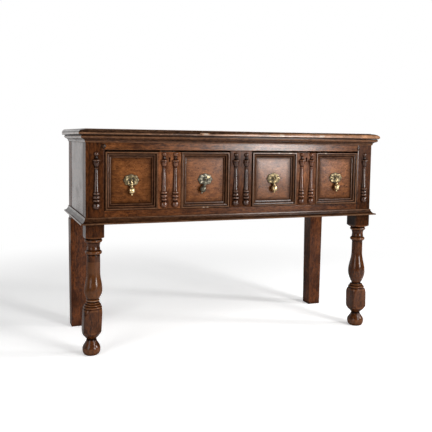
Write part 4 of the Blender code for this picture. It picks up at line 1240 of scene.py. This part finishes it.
# Studio: a plain pale floor that runs into a white background, five soft lights and a camera.
# The background is white to the camera, and where polished wood mirrors what lies behind and to the left.
FLOOR_RADIUS = 2.3
FLOOR_GLOW = (0.33, 0.33, 0.33)
FADE_START, FADE_END = 1.1, 2.2
WHITE = (1, 1, 1, 1)
floor_surface, tree, shader, grain = shaded("pale_floor")
seen = Tone.node(tree, "ShaderNodeLightPath", {}, {}, "Is Camera Ray")
place = Tone.node(tree, "ShaderNodeTexCoord", {}, {}, "Object")
from_middle = Tone.node(tree, "ShaderNodeVectorMath", {"operation": "LENGTH"}, {0: place}, "Value")
finished(
    tree, shader, Base_Color=(grain(0.02, detail=3.0) * 0.5).mixing((0.92, 0.92, 0.92), (0.90, 0.90, 0.90)),
    Emission_Color=seen.mixing((0, 0, 0), FLOOR_GLOW),
)
for socket, value in (("Emission Strength", 1.0), ("Roughness", 0.9), ("Specular IOR Level", 0.0)):
    shader.inputs[socket].default_value = value
white = Tone.node(tree, "ShaderNodeEmission", {}, {"Color": WHITE, "Strength": 1.0})
faded = Tone.node(
    tree, "ShaderNodeMixShader", {},
    {0: from_middle.between(FADE_START, FADE_END) * seen, 1: Tone(tree, shader.outputs[0]), 2: white},
)
tree.links.new(faded.socket, tree.nodes["Material Output"].inputs["Surface"])
shape = bmesh.new()
bmesh.ops.create_circle(shape, cap_ends=True, segments=96, radius=FLOOR_RADIUS)
made("studio_floor", shape, floor_surface)

world = bpy.data.worlds.new("studio")
world.use_nodes = True
bpy.context.scene.world = world
tree = world.node_tree
seen, mirrored, through = (
    Tone.node(tree, "ShaderNodeLightPath", {}, {}, name)
    for name in ("Is Camera Ray", "Is Glossy Ray", "Is Transmission Ray")
)
heading = Tone.node(tree, "ShaderNodeTexCoord", {}, {}, "Generated")
along_x, along_y, along_z = (
    Tone.node(tree, "ShaderNodeSeparateXYZ", {}, {0: heading}, axis) for axis in "XYZ"
)
leftwards = (0.0 - along_x).between(-0.20, 0.0)
behind = along_y.between(-0.10, 0.35)
overhead = along_z.between(0.50, 0.85)
fill = 0.11 + 0.24 * along_z.between(-0.3, 1.0)
reflected = mirrored * (0.025 + 0.975 * behind * leftwards * (1.0 - overhead) - fill)
strength = seen + (1.0 - seen) * (fill + reflected + through * (1.0 - fill))
tree.nodes["Background"].inputs["Color"].default_value = WHITE
tree.links.new(strength.socket, tree.nodes["Background"].inputs["Strength"])

for name, spot, aim, width, height, power in (
    ("right_softbox", (1.95, -3.80, 1.15), (0.10, -0.20, 0.55), 0.80, 1.40, 122.0),
    ("front_card", (1.20, -3.90, 1.10), (0.00, -0.20, 0.55), 0.80, 1.40, 6.0),
    ("side_softbox", (3.00, -1.30, 1.45), (0.00, -0.20, 0.30), 0.40, 0.70, 50.0),
    ("left_softbox", (-2.50, -1.80, 1.35), (0.00, -0.20, 0.50), 1.30, 1.90, 32.0),
    ("overhead_softbox", (1.45, -1.90, 2.30), (0.20, -0.20, 0.70), 1.00, 0.70, 28.0),
):
    light = bpy.data.lights.new(name, "AREA")
    light.shape = "RECTANGLE"
    light.size = width
    light.size_y = height
    light.energy = power
    lamp = placed(name, light)
    lamp.location = spot
    lamp.rotation_euler = (Vector(aim) - Vector(spot)).to_track_quat("-Z", "Y").to_euler()

PHOTO_PIXELS = 432
FOCAL_PIXELS = 607.33
AXIS_ROW = 185.0
CAMERA_PLACE = (-0.8986, -2.2792, 0.7614)
yaw, pitch, roll = (math.radians(angle) for angle in (21.081, 4.324, 0.817))
camera = bpy.data.cameras.new("camera")
camera.sensor_width = 36.0
camera.lens = FOCAL_PIXELS / PHOTO_PIXELS * camera.sensor_width
camera.shift_y = (AXIS_ROW - PHOTO_PIXELS / 2) / PHOTO_PIXELS
look = Vector((math.sin(yaw) * math.cos(pitch), math.cos(yaw) * math.cos(pitch), -math.sin(pitch)))
right = Vector((math.cos(yaw), -math.sin(yaw), 0))
above = right.cross(look)
across = right * math.cos(roll) + above * math.sin(roll)
upright = above * math.cos(roll) - right * math.sin(roll)
turned = Matrix((across, upright, -look)).transposed().to_4x4()
viewer = placed("camera", camera)
viewer.matrix_world = Matrix.Translation(CAMERA_PLACE) @ turned
bpy.context.scene.camera = viewer
bpy.context.scene.view_settings.view_transform = "Standard"
